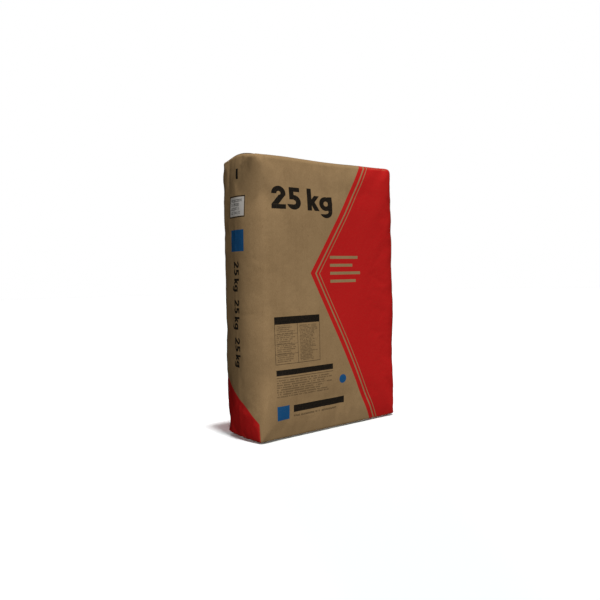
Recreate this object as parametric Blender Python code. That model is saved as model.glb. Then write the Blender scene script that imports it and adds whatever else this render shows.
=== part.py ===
"""A filled paper valve sack of cement with pasted block ends, standing on its end.

Metres, +Z up. The origin is the middle of the foot. The broad front faces -Y, the narrow
side under the valve faces -X, and the sack's long seam is on the back, +Y.
"""

import math

import bmesh
import bpy

# Sack, measured from fold to fold at its ends
EDGE_HEIGHT = 0.540
WIDTH = 0.352
DEPTH = 0.114
TOP_NARROWING = 0.035
BROAD_CROWN = 0.0040
LEFT_CROWN = 0.0060
RIGHT_CROWN = 0.0005
CROWN_POWER = 1.25

# How quickly the crowns swell above the foot, and how low their fullest height is: 1 is mid-height
SWELL_POWER = 0.55
SWELL_SAG = 0.75

# Rounding of an upright edge: its radius at the foot, at mid-height and at the top, and the shares
# of the height where it has opened to its middle value and where it closes again. The front-left
# edge is rounded further along the narrow side, and the front-right one along the broad face.
EDGE = (0.004, 0.018, 0.005, 0.38, 0.78)
FRONT_LEFT_BROAD = (0.004, 0.026, 0.014, 0.25, 0.85)
FRONT_LEFT_NARROW = (0.006, 0.054, 0.026, 0.20, 0.88)
FRONT_RIGHT_BROAD = (0.004, 0.036, 0.012, 0.38, 0.78)
FRONT_RIGHT_NARROW = (0.004, 0.022, 0.007, 0.38, 0.78)

# How far the faces stand out beyond the foot's corners, at the same places. The paper's girth is
# fixed, so they stand further out where the edges are rounder.
BROAD_STAND_OUT = (0.0011, 0.0052, 0.0014, 0.20, 0.78)
LEFT_STAND_OUT = (0.0011, 0.0052, 0.0014, 0.38, 0.78)
RIGHT_STAND_OUT = (0.0011, 0.0107, 0.0037, 0.38, 0.78)

# The share of its rounding that an edge keeps inside a fold
KEPT_IN_FOLD = 0.4

# Folds where the faces turn into the ends
FOOT_FOLD_RADIUS = 0.0045
TOP_FOLD_RADIUS = 0.007
TOP_DOME = 0.007
NARROW_ARCH = 0.006

# How sharply the dome falls to the broad folds, how late it turns into the narrow folds' arch,
# and how quickly that arch fades out down the walls
DOME_POWER = 1.5
ARCH_POWER = 4
LIFT_POWER = 12

# Glued-on paper pieces
PATCH_THICKNESS = 0.0004
SLEEVE_THICKNESS = 0.0008
LAID_GAP = 0.0003
PATCH_MARGIN_LONG = 0.010
PATCH_MARGIN_SHORT = 0.004
PATCH_CORNER = 0.004
PATCH_CORNER_STEPS = 3
SLEEVE_REACH = 0.024
SLEEVE_MARGIN = 0.009

# Fineness of the surfaces
BROAD_STEPS = 14
NARROW_STEPS = 6
ARC_STEPS = 6
FOLD_STEPS = 4
WALL_RINGS = 20
DOME_RINGS = 5
SHEET_STEP = 0.010

KRAFT_BROWN = (0.42, 0.30, 0.19, 1.0)
PATCH_BROWN = (0.46, 0.34, 0.22, 1.0)
SLEEVE_BROWN = (0.50, 0.38, 0.26, 1.0)
PAPER_ROUGHNESS = 0.72
SHARP_ANGLE = math.radians(40)

FOOT_Z = PATCH_THICKNESS + LAID_GAP
TOP_STAND_OUT = BROAD_STAND_OUT[2]
END_HALF_WIDTH = WIDTH / 2 + TOP_STAND_OUT - TOP_FOLD_RADIUS
END_HALF_DEPTH = DEPTH * (1 - TOP_NARROWING) / 2 + TOP_STAND_OUT - TOP_FOLD_RADIUS


def clear_scene():
    """Removes every object of the startup scene."""
    for old in list(bpy.data.objects):
        bpy.data.objects.remove(old, do_unlink=True)


def paper(name, colour):
    """A dull paper material of one colour."""
    material = bpy.data.materials.new(name)
    material.use_nodes = True
    shader = material.node_tree.nodes["Principled BSDF"]
    shader.inputs["Base Color"].default_value = colour
    shader.inputs["Roughness"].default_value = PAPER_ROUGHNESS
    shader.inputs["Metallic"].default_value = 0.0
    return material


def add_object(name, bm, material):
    """Puts a finished bmesh into the scene as one named object."""
    mesh = bpy.data.meshes.new(name)
    bmesh.ops.recalc_face_normals(bm, faces=bm.faces)
    bm.to_mesh(mesh)
    bm.free()
    mesh.materials.append(material)
    mesh.shade_smooth()
    mesh.set_sharp_from_angle(angle=SHARP_ANGLE)
    made = bpy.data.objects.new(name, mesh)
    bpy.context.scene.collection.objects.link(made)
    return made


def end_surface(x, y):
    """Height of the top end over a point of it: a low dome, arched along the narrow folds too."""
    along = max(0.0, 1 - (y / END_HALF_DEPTH) ** 2) ** DOME_POWER
    across = min(1.0, abs(x) / END_HALF_WIDTH) ** ARCH_POWER
    return EDGE_HEIGHT + along * (TOP_DOME + (NARROW_ARCH - TOP_DOME) * across)


def smooth_share(low, high, value):
    """Rises smoothly from 0 at low to 1 at high."""
    share = min(1.0, max(0.0, (value - low) / (high - low)))
    return share * share * (3 - 2 * share)


def upright_length(lengths, height_share):
    """A length that changes up the sack, at a share of its height."""
    foot, middle, top, opened, closing = lengths
    below = foot + (middle - foot) * smooth_share(0.0, opened, height_share)
    return below + (top - middle) * smooth_share(closing, 1.0, height_share)


def section(z, inset):
    """Points round the sack at height z, drawn in by inset where a fold turns it inwards.

    They run counter-clockwise seen from above: a corner arc, then the crowned side after it.
    """
    height_share = max(0.0, z / EDGE_HEIGHT)
    swell = max(0.0, math.sin(math.pi * height_share**SWELL_SAG)) ** SWELL_POWER
    half_left = WIDTH / 2 + upright_length(LEFT_STAND_OUT, height_share) - inset
    half_right = WIDTH / 2 + upright_length(RIGHT_STAND_OUT, height_share) - inset
    half_y = DEPTH * (1 - TOP_NARROWING * height_share) / 2 - inset
    half_y += upright_length(BROAD_STAND_OUT, height_share)
    corners = [
        (half_right, half_y, EDGE, EDGE),
        (-half_left, half_y, EDGE, EDGE),
        (-half_left, -half_y, FRONT_LEFT_BROAD, FRONT_LEFT_NARROW),
        (half_right, -half_y, FRONT_RIGHT_BROAD, FRONT_RIGHT_NARROW),
    ]
    arcs = []
    for index, (corner_x, corner_y, broad_edge, narrow_edge) in enumerate(corners):
        radii = []
        for edge in (broad_edge, narrow_edge):
            full = upright_length(edge, height_share)
            radii.append(max(full - inset, KEPT_IN_FOLD * full))
        centre_x = corner_x - math.copysign(radii[0], corner_x)
        centre_y = corner_y - math.copysign(radii[1], corner_y)
        arc = []
        for step in range(ARC_STEPS + 1):
            angle = (index + step / ARC_STEPS) * math.pi / 2
            x = centre_x + radii[0] * math.cos(angle)
            y = centre_y + radii[1] * math.sin(angle)
            arc.append((x, y))
        arcs.append(arc)
    points = []
    for index, steps in enumerate((BROAD_STEPS, NARROW_STEPS, BROAD_STEPS, NARROW_STEPS)):
        start, end = arcs[index][-1], arcs[(index + 1) % 4][0]
        points.extend(arcs[index])
        for step in range(1, steps):
            share = step / steps
            points.append((start[0] + (end[0] - start[0]) * share, start[1] + (end[1] - start[1]) * share))
    return [crowned(x, y, half_left, half_right, half_y, swell) for x, y in points]


def crowned(x, y, half_left, half_right, half_y, swell):
    """Moves a point of the section out with the swell of its broad face or of its narrow side."""
    half_x, narrow_crown = (half_right, RIGHT_CROWN) if x > 0 else (half_left, LEFT_CROWN)
    across, deep = min(1.0, abs(x) / half_x), min(1.0, abs(y) / half_y)
    broad = BROAD_CROWN * swell * (1 - across**2) ** CROWN_POWER
    narrow = narrow_crown * swell * (1 - deep**2) ** CROWN_POWER
    return (x + math.copysign(narrow * across, x), y + math.copysign(broad * deep, y))


def wall_point(x, y, z):
    """Lifts a point of the wall towards the arch of the top end's narrow folds."""
    lift = (end_surface(x, y) - EDGE_HEIGHT) * max(0.0, z / EDGE_HEIGHT) ** LIFT_POWER
    return (x, y, z + lift)


def wall_levels():
    """Height and inset of each ring, from the foot's flat up to the top end's flat."""
    levels = []
    for step in range(FOLD_STEPS + 1):
        angle = step / FOLD_STEPS * math.pi / 2
        inset = FOOT_FOLD_RADIUS * (1 - math.sin(angle))
        levels.append((FOOT_Z + FOOT_FOLD_RADIUS * (1 - math.cos(angle)), inset))
    low = FOOT_Z + FOOT_FOLD_RADIUS
    high = EDGE_HEIGHT - TOP_FOLD_RADIUS
    for step in range(1, WALL_RINGS):
        levels.append((low + (high - low) * step / WALL_RINGS, 0.0))
    for step in range(FOLD_STEPS + 1):
        angle = step / FOLD_STEPS * math.pi / 2
        inset = TOP_FOLD_RADIUS * (1 - math.cos(angle))
        levels.append((high + TOP_FOLD_RADIUS * math.sin(angle), inset))
    return levels


def add_ring(bm, points):
    """Makes a closed loop of vertices and the edges between them."""
    corners = [bm.verts.new(point) for point in points]
    return [bm.edges.new((a, b)) for a, b in zip(corners, corners[1:] + corners[:1])]


def build_sack(material):
    """The filled sack: a skinned stack of sections, flat at the foot and domed on top."""
    bm = bmesh.new()
    rings = []
    for z, inset in wall_levels():
        rings.append(add_ring(bm, [wall_point(x, y, z) for x, y in section(z, inset)]))
    rim = section(EDGE_HEIGHT, TOP_FOLD_RADIUS)
    for step in range(1, DOME_RINGS):
        share = 1 - step / DOME_RINGS
        dome = [(x * share, y * share, end_surface(x * share, y * share)) for x, y in rim]
        rings.append(add_ring(bm, dome))
    for lower, upper in zip(rings, rings[1:]):
        bmesh.ops.bridge_loops(bm, edges=lower + upper)
    bmesh.ops.triangle_fill(bm, use_beauty=True, edges=rings[0])
    peak = bm.verts.new((0.0, 0.0, end_surface(0.0, 0.0)))
    for edge in rings[-1]:
        bm.faces.new((edge.verts[0], edge.verts[1], peak))
    return add_object("filled_sack", bm, material)


def add_sheet(bm, low, high, surface):
    """Lays a grid of quads between two corners, each vertex at the surface's height."""
    counts = [max(1, round((b - a) / SHEET_STEP)) for a, b in zip(low, high)]
    rows = []
    for j in range(counts[1] + 1):
        y = low[1] + (high[1] - low[1]) * j / counts[1]
        xs = [low[0] + (high[0] - low[0]) * i / counts[0] for i in range(counts[0] + 1)]
        rows.append([bm.verts.new((x, y, surface(x, y))) for x in xs])
    for front, back in zip(rows, rows[1:]):
        for i in range(counts[0]):
            bm.faces.new((front[i], front[i + 1], back[i + 1], back[i]))


def build_laid_sheet(name, low, high, thickness, material):
    """A glued paper piece that follows the top end's dome, clear of it by the laid gap."""
    bm = bmesh.new()
    add_sheet(bm, low, high, lambda x, y: end_surface(x, y) + LAID_GAP)
    made = add_object(name, bm, material)
    solid = made.modifiers.new("Thickness", "SOLIDIFY")
    solid.thickness = thickness
    solid.offset = 1.0
    return made


def build_foot_patch(material):
    """The flat patch under the foot, with rounded corners. Its underside is what stands."""
    half_x = WIDTH / 2 - FOOT_FOLD_RADIUS - PATCH_MARGIN_LONG
    half_y = DEPTH / 2 - FOOT_FOLD_RADIUS - PATCH_MARGIN_SHORT
    bm = bmesh.new()
    bmesh.ops.create_cube(bm, size=1.0)
    for vertex in bm.verts:
        vertex.co.x *= 2 * half_x
        vertex.co.y *= 2 * half_y
        vertex.co.z = (vertex.co.z + 0.5) * PATCH_THICKNESS
    upright = [edge for edge in bm.edges if edge.verts[0].co.xy == edge.verts[1].co.xy]
    bmesh.ops.bevel(
        bm,
        geom=upright,
        offset=PATCH_CORNER,
        segments=PATCH_CORNER_STEPS,
        affect="EDGES",
        profile=0.5,
    )
    return add_object("bottom_end_patch", bm, material)


def main():
    """Builds the four pieces of the sack."""
    clear_scene()
    build_sack(paper("printed_kraft", KRAFT_BROWN))
    build_foot_patch(paper("foot_patch_kraft", PATCH_BROWN))
    sleeve_edge = -END_HALF_WIDTH + SLEEVE_REACH
    patch_half_y = END_HALF_DEPTH - PATCH_MARGIN_SHORT
    build_laid_sheet(
        "top_end_patch",
        (sleeve_edge + LAID_GAP, -patch_half_y),
        (END_HALF_WIDTH - PATCH_MARGIN_LONG, patch_half_y),
        PATCH_THICKNESS,
        paper("top_patch_kraft", PATCH_BROWN),
    )
    sleeve_half_y = END_HALF_DEPTH - SLEEVE_MARGIN
    build_laid_sheet(
        "valve_sleeve",
        (-END_HALF_WIDTH, -sleeve_half_y),
        (sleeve_edge - LAID_GAP, sleeve_half_y),
        SLEEVE_THICKNESS,
        paper("valve_kraft", SLEEVE_BROWN),
    )


main()
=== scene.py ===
"""Looks of a filled paper valve sack of cement, standing on its end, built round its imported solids.

Metres, +Z up. The broad front faces -Y and the narrow side under the valve faces -X. Places on the
paper are flat coordinates: u runs round the sack, with 0 at the middle of the front, and v runs up
it, with 0 at the foot fold. They carry on over the folds onto both ends.
"""

import logging
import math
from dataclasses import dataclass, field
from enum import Enum
from functools import partial, reduce

import bpy
import numpy as np
from mathutils import Matrix, Vector
from mathutils.bvhtree import BVHTree


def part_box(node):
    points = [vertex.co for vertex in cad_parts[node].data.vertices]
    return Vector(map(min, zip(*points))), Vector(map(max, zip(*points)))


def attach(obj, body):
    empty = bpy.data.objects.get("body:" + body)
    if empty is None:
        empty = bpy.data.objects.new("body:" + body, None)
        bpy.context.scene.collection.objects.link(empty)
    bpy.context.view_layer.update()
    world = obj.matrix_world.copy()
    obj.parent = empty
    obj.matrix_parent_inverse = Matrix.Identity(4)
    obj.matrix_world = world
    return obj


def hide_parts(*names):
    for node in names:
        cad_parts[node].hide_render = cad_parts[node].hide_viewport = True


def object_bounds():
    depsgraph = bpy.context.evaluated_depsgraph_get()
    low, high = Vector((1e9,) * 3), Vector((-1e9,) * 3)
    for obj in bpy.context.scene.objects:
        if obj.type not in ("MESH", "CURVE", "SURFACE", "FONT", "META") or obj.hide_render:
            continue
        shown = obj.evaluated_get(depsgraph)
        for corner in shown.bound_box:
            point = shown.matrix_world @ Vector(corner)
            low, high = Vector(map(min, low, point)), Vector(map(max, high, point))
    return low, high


LOG = logging.getLogger("cement_sack")
MM = 0.001
TINY = 1e-9
BODY = "root"

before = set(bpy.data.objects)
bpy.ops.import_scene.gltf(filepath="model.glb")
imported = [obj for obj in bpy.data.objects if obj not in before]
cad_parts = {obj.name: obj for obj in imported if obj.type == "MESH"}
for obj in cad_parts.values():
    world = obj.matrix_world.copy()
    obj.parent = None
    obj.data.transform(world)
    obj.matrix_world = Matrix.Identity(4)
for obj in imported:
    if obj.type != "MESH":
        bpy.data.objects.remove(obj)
CAD_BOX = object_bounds()

# What goes into a node is a number or another node's output. A point lies on a plane, and a box is
# its left, right, low and high edges.
Socket = bpy.types.NodeSocket
Value = float | Socket
Point = tuple[float, float]
Box = tuple[float, float, float, float]


class Slot(Enum):
    """The record's material slots."""

    PRINTED = "printed_kraft"
    PATCH = "end_patch_kraft"
    VALVE = "valve_kraft"


def smoothstep(low: float, high: float, value: np.ndarray) -> np.ndarray:
    """Rises smoothly from 0 at low to 1 at high."""
    share = np.clip((value - low) / (high - low), 0.0, 1.0)
    return share * share * (3.0 - 2.0 * share)


def cubic_resample(values: np.ndarray, old: np.ndarray, new: np.ndarray, period: float = 0.0) -> np.ndarray:
    """Reads rows of values at new places along their first axis, with a smooth cubic.

    Args:
        values: One row for each old place.
        old: The old places, rising.
        new: The places to read.
        period: The length after which the rows repeat, or 0 where they end.

    Returns:
        One row for each new place.
    """
    if period:
        old = np.concatenate([old[-2:] - period, old, old[:3] + period])
        values = np.concatenate([values[-2:], values, values[:3]])
    else:
        old = np.concatenate([[2 * old[0] - old[1]], old, [2 * old[-1] - old[-2]]])
        values = np.concatenate([values[:1], values, values[-1:]])
    cell = np.clip(np.searchsorted(old, new, side="right") - 1, 1, len(old) - 3)
    share = (new - old[cell]) / (old[cell + 1] - old[cell])
    share = np.clip(share, 0.0, 1.0).reshape((-1,) + (1,) * (values.ndim - 1))
    a, b, c, d = (values[cell + shift] for shift in (-1, 0, 1, 2))
    bent = 2 * a - 5 * b + 4 * c - d
    return b + 0.5 * share * (c - a + share * (bent + share * (3 * (b - c) + d - a)))


def placed(name: str, data: bpy.types.ID) -> bpy.types.Object:
    """Adds an object to the scene, at the origin.

    Args:
        name: Its name.
        data: Its mesh, curve, light or camera.

    Returns:
        The new object.
    """
    made = bpy.data.objects.new(name, data)
    bpy.context.scene.collection.objects.link(made)
    return made


def mesh_from(name: str, points: np.ndarray, faces: list) -> bpy.types.Mesh:
    """Makes a mesh.

    Args:
        name: Its name.
        points: Its vertices' places, one row each.
        faces: Each face's vertex numbers.

    Returns:
        The new mesh.
    """
    mesh = bpy.data.meshes.new(name)
    mesh.from_pydata(points.tolist(), [], faces)
    mesh.update()
    return mesh


@dataclass(frozen=True)
class Sheet:
    """A grid of places on the flat paper tube, in metres.

    Attributes:
        u: Columns round the sack.
        v: Rows up it.
        turn: The way round the sack.
    """

    u: np.ndarray
    v: np.ndarray
    turn: float

    def blank(self) -> np.ndarray:
        """A relief of nothing."""
        return np.zeros((len(self.v), len(self.u)))

    def past(self, place: float | np.ndarray) -> np.ndarray:
        """How far each column is past a place round the sack, by the shorter way."""
        return np.mod(self.u - place + self.turn / 2, self.turn) - self.turn / 2

    def lengths(self, levels: tuple[Point, ...]) -> np.ndarray:
        """Reads off a length for each row.

        Args:
            levels: Heights and the length there, in millimetres.

        Returns:
            The lengths, in metres, as (rows, 1).
        """
        heights, out = (np.array(part, float) for part in zip(*levels))
        inside = np.clip(self.v, heights[0] * MM, heights[-1] * MM)
        return MM * cubic_resample(out, heights * MM, inside)[:, None]


@dataclass(frozen=True)
class Undulation:
    """A soft random relief over the flat paper.

    Attributes:
        seed: Picks the pattern.
        across: Size of a swell round the sack, in metres.
        along: Size of a swell up the sack, in metres.
        height: How far the relief goes either way, in metres.
    """

    seed: int
    across: float
    along: float
    height: float

    def at(self, sheet: Sheet) -> np.ndarray:
        """The relief over the sheet, closed after one turn of the sack.

        Args:
            sheet: Places on the flat paper.

        Returns:
            The relief, in metres.
        """
        columns = max(4, round(sheet.turn / self.across))
        low, high = sheet.v.min() - self.along, sheet.v.max() + self.along
        rows = max(4, math.ceil((high - low) / self.along) + 1)
        lattice = np.random.default_rng(self.seed).uniform(-1.0, 1.0, (rows, columns))
        column_places = sheet.u[0] + sheet.turn * np.arange(columns) / columns
        tall = cubic_resample(lattice, np.linspace(low, high, rows), sheet.v)
        return self.height * cubic_resample(tall.T, column_places, sheet.u, sheet.turn).T


@dataclass(frozen=True)
class UprightLengths:
    """A length that changes up the sack, in metres.

    Attributes:
        foot: The length at the foot.
        middle: The length at mid-height.
        top: The length at the top.
        open_from: Share of the height at which the middle length is reached.
        close_from: Share of the height at which it starts to change to the top length.
    """

    foot: float
    middle: float
    top: float
    open_from: float = 0.38
    close_from: float = 0.78

    def at(self, share_up: np.ndarray) -> np.ndarray:
        """The length at a share of the sack's height."""
        below = self.foot + (self.middle - self.foot) * smoothstep(0.0, self.open_from, share_up)
        return below + (self.top - self.middle) * smoothstep(self.close_from, 1.0, share_up)


@dataclass(frozen=True)
class SackSizes:
    """The sack's measures, in metres, from fold to fold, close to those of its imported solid.

    Attributes:
        height: Height of the top fold.
        width: Width of the broad faces.
        depth: Depth of the narrow sides at the foot.
        foot_level: Height of the folded foot over the floor.
        top_narrowing: Share by which the depth is less at the top.
        foot_fold: Radius of the fold round the foot.
        top_fold: Radius of the fold round the top.
        edge: How far the rounding of a back edge reaches.
        front_left_broad: How far the front-left edge's rounding reaches over the front.
        front_left_narrow: How far it reaches over the narrow side.
        front_right_broad: How far the front-right edge's rounding reaches over the front.
        front_right_narrow: How far it reaches over the narrow side.
        broad_stand_out: How far the broad faces stand out.
        left_stand_out: How far the left narrow side stands out.
        right_stand_out: How far the right narrow side stands out.
        broad_crown: How much further the broad faces' middles swell.
        left_crown: How much further the left side's middle swells.
        right_crown: How much further the right side's middle swells.
        crown_power: How quickly a swell falls off across a face.
        swell_power: How quickly it fades towards the ends.
        swell_sag: How low the fullest part lies: 1 for mid-height, less for lower.
        top_dome: Rise of the top end's middle.
        narrow_arch: Rise of the middle of its narrow folds.
        dome_power: How sharply the dome falls to the broad folds.
        arch_power: How late it turns into the narrow folds' arch.
        lift_power: How quickly that arch fades out down the walls.
        kept_in_fold: Share of its rounding that an edge keeps inside a fold.
    """

    height: float = 0.540
    width: float = 0.352
    depth: float = 0.114
    foot_level: float = 0.0007
    top_narrowing: float = 0.035
    foot_fold: float = 0.0045
    top_fold: float = 0.007
    edge: UprightLengths = UprightLengths(0.004, 0.018, 0.005)
    front_left_broad: UprightLengths = UprightLengths(0.004, 0.030, 0.008, 0.25, 0.85)
    front_left_narrow: UprightLengths = UprightLengths(0.006, 0.054, 0.014, 0.20, 0.86)
    front_right_broad: UprightLengths = UprightLengths(0.004, 0.036, 0.012)
    front_right_narrow: UprightLengths = UprightLengths(0.004, 0.022, 0.007)
    broad_stand_out: UprightLengths = UprightLengths(0.0011, 0.0052, 0.0014, 0.20)
    left_stand_out: UprightLengths = UprightLengths(0.0011, 0.0052, 0.0014)
    right_stand_out: UprightLengths = UprightLengths(0.0011, 0.0107, 0.0037)
    broad_crown: float = 0.0040
    left_crown: float = 0.0060
    right_crown: float = 0.0005
    crown_power: float = 1.25
    swell_power: float = 0.55
    swell_sag: float = 0.75
    top_dome: float = 0.007
    narrow_arch: float = 0.006
    dome_power: float = 1.5
    arch_power: int = 4
    lift_power: int = 12
    kept_in_fold: float = 0.4

    @property
    def turn(self) -> float:
        """The way round the sack, from fold to fold."""
        return 2 * (self.width + self.depth)

    @property
    def end_half_width(self) -> float:
        """Half the width of the top end's flat, inside its fold."""
        return self.width / 2 + self.left_stand_out.top - self.top_fold

    @property
    def end_half_depth(self) -> float:
        """Half the depth of the top end's flat, inside its fold."""
        return self.depth * (1 - self.top_narrowing) / 2 + self.broad_stand_out.top - self.top_fold

    def top_surface(self, x: np.ndarray, y: np.ndarray) -> np.ndarray:
        """Height of the top end: a low dome, arched along the narrow folds too.

        Args:
            x: Places across, in metres.
            y: Places in depth, in metres.

        Returns:
            The heights, in metres.
        """
        along = np.clip(1 - (y / self.end_half_depth) ** 2, 0.0, None) ** self.dome_power
        across = np.clip(np.abs(x) / self.end_half_width, 0.0, 1.0) ** self.arch_power
        return self.height + along * (self.top_dome + (self.narrow_arch - self.top_dome) * across)


@dataclass
class SackForm:
    """Turns places on the flat paper into places on the filled sack.

    Attributes:
        sizes: The sack's measures.
        seam: Where the long seam's outer edge runs, as u.
        edge_zone: How far the small faces reach from an upright edge.
        seam_clear: The least distance from the seam to other columns.
        seam_step: Distance from the seam to the columns at its sides.
        same_within: Decimals of a metre up to which two columns are one.
        most_reach: Share of a panel that one edge's rounding may take up.
    """

    sizes: SackSizes = field(default_factory=SackSizes)
    seam: float = 0.316
    edge_zone: float = 0.026
    seam_clear: float = 0.9 * MM
    seam_step: float = 0.35 * MM
    same_within: int = 7
    most_reach: float = 0.499

    def sheet(self, step: float, edge_step: float, fold_step: float) -> Sheet:
        """The places on the flat paper, with faces of these sizes on the walls, edges and folds."""
        return Sheet(self.columns(step, edge_step), self.rows(step, fold_step), self.sizes.turn)

    def columns(self, step: float, edge_step: float) -> np.ndarray:
        """Places round the sack, starting at the seam and closer together at the upright edges.

        Args:
            step: Size of a face.
            edge_step: Size of a face at the upright edges.

        Returns:
            The places, as u, rising.
        """
        s = self.sizes
        places: list[float] = []
        start = -s.width / 2
        seam_in_panel = self.seam - s.width / 2 - s.depth
        for panel, length in enumerate((s.width, s.depth, s.width, s.depth)):
            zone = self.edge_zone
            near = np.linspace(0.0, zone, max(2, round(zone / edge_step)), endpoint=False)
            far_count = max(2, round((length - 2 * zone) / step))
            local = list(near) + list(np.linspace(zone, length - zone, far_count, endpoint=False))
            local += [*(length - near[::-1][:-1]), length - zone]
            if panel % 2 == 0:
                for middle in (seam_in_panel, length - seam_in_panel):
                    local = [place for place in local if abs(place - middle) > self.seam_clear]
                    local += [middle - self.seam_step, middle + self.seam_step]
            places += [start + place for place in sorted(set(np.round(local, self.same_within)))]
            start += length
        turned = np.array(places)
        turned = np.where(turned >= self.seam, turned - s.turn, turned)
        return np.sort(turned)

    def rows(self, step: float, fold_step: float) -> np.ndarray:
        """Places up the sack, from the middle of the foot to the middle of the top end.

        Args:
            step: Size of a face.
            fold_step: Size of a face on the folds.

        Returns:
            The places, as v, rising.
        """
        s = self.sizes
        half = s.depth / 2
        spans = (
            (-half, -s.foot_fold, step),
            (-s.foot_fold, s.foot_fold, fold_step),
            (s.foot_fold, s.height - s.top_fold, step),
            (s.height - s.top_fold, s.height + s.top_fold, fold_step),
            (s.height + s.top_fold, s.height + half, step),
        )
        pieces = [
            np.linspace(low, high, max(2, round((high - low) / fine)), endpoint=False)
            for low, high, fine in spans
        ]
        return np.concatenate(pieces + [np.array([s.height + half])])

    def _levels(self, v: np.ndarray) -> tuple[np.ndarray, np.ndarray, np.ndarray]:
        """For each row: its height, how far it is drawn in, and how far over the end it is.

        Args:
            v: Rows up it.

        Returns:
            The height, the inset and the share of the way over the end.
        """
        s = self.sizes
        half_foot = s.depth / 2 + s.broad_stand_out.foot
        half_top = s.depth * (1 - s.top_narrowing) / 2 + s.broad_stand_out.top
        z, inset, over = v.copy(), np.zeros_like(v), np.zeros_like(v)
        for sign, level, fold, half in (
            (-1, s.foot_level, s.foot_fold, half_foot),
            (1, s.height, s.top_fold, half_top),
        ):
            edge = 0.0 if sign < 0 else s.height
            past = sign * (v - edge) + fold
            angle = np.clip(past / (2 * fold), 0.0, 1.0) * math.pi / 2
            share = np.clip((past - 2 * fold) / (s.depth / 2 - fold), 0.0, 1.0)
            turned = past > 0
            z[turned] = (level - sign * fold * (1 - np.sin(angle)))[turned]
            inset[turned] = (fold * (1 - np.cos(angle)) + share * (half - fold))[turned]
            over[turned] = share[turned]
        return z, inset, over

    def points(self, sheet: Sheet) -> np.ndarray:
        """Where the places on the flat paper are on the sack.

        Args:
            sheet: Places on the flat paper.

        Returns:
            The points, as (rows, columns, 3).
        """
        s = self.sizes
        z, inset, over = (part[:, None] for part in self._levels(sheet.v))
        share_up = np.clip(z / s.height, 0.0, 1.0)
        swell = np.clip(np.sin(math.pi * share_up**s.swell_sag), 0.0, None) ** s.swell_power
        left = s.width / 2 + s.left_stand_out.at(share_up) - inset
        right = s.width / 2 + s.right_stand_out.at(share_up) - inset
        half_y = s.depth * (1 - s.top_narrowing * share_up) / 2 + s.broad_stand_out.at(share_up) - inset
        half_y = np.maximum(half_y, 0.0)
        reaches = []
        for pair in (
            (s.front_left_broad, s.front_left_narrow),
            (s.front_right_broad, s.front_right_narrow),
            (s.edge, s.edge),
            (s.edge, s.edge),
        ):
            full = [edge.at(share_up) for edge in pair]
            reaches.append([np.maximum(reach - inset, s.kept_in_fold * reach) * (1 - over) for reach in full])
        ring = np.mod(sheet.u[None, :] + s.width / 2, s.turn)
        result = np.zeros((len(sheet.v), len(sheet.u), 3))
        result[:, :, 2] = z
        start = 0.0
        panels = (
            ((1, 0), (0, -1), (-left, -half_y), s.width, left + right),
            ((0, 1), (1, 0), (right, -half_y), s.depth, 2 * half_y),
            ((-1, 0), (0, 1), (right, half_y), s.width, left + right),
            ((0, -1), (-1, 0), (-left, half_y), s.depth, 2 * half_y),
        )
        for number, (tangent, outward, corner, length, real) in enumerate(panels):
            inside = (ring >= start - TINY) & (ring < start + length - TINY)
            local = np.clip((ring - start) / length, 0.0, 1.0) * real
            face = number % 2
            first_pair, last_pair = reaches[number], reaches[(number + 1) % 4]
            near, far = (np.minimum(pair[face], self.most_reach * real) for pair in (first_pair, last_pair))
            first, last = local < near, local > real - far
            turned = np.where(first, local / np.maximum(near, TINY), (real - local) / np.maximum(far, TINY))
            angle = np.radians(45 + 45 * np.clip(turned, 0.0, 1.0))
            along = np.where(
                first,
                near - near * np.cos(angle),
                np.where(last, real - far + far * np.cos(angle), local),
            )
            drop = np.where(first, first_pair[1 - face], last_pair[1 - face])
            out = np.where(first | last, drop * (np.sin(angle) - 1), 0.0)
            for axis in (0, 1):
                value = corner[axis] + tangent[axis] * along + outward[axis] * out
                result[:, :, axis] = np.where(inside, value, result[:, :, axis])
            start += length
        across = result[:, :, 0] / np.where(result[:, :, 0] > 0, right, left)
        deep = result[:, :, 1] / np.maximum(half_y, TINY)
        across, deep = (np.clip(part, -1.0, 1.0) for part in (across, deep))
        narrow_crown = np.where(across > 0, s.right_crown, s.left_crown)
        swell = swell * (1 - over)
        result[:, :, 0] += narrow_crown * swell * across * (1 - deep**2) ** s.crown_power
        result[:, :, 1] += s.broad_crown * swell * deep * (1 - across**2) ** s.crown_power
        lift = s.top_surface(result[:, :, 0], result[:, :, 1]) - s.height
        result[:, :, 2] += lift * share_up**s.lift_power
        return result


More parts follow.
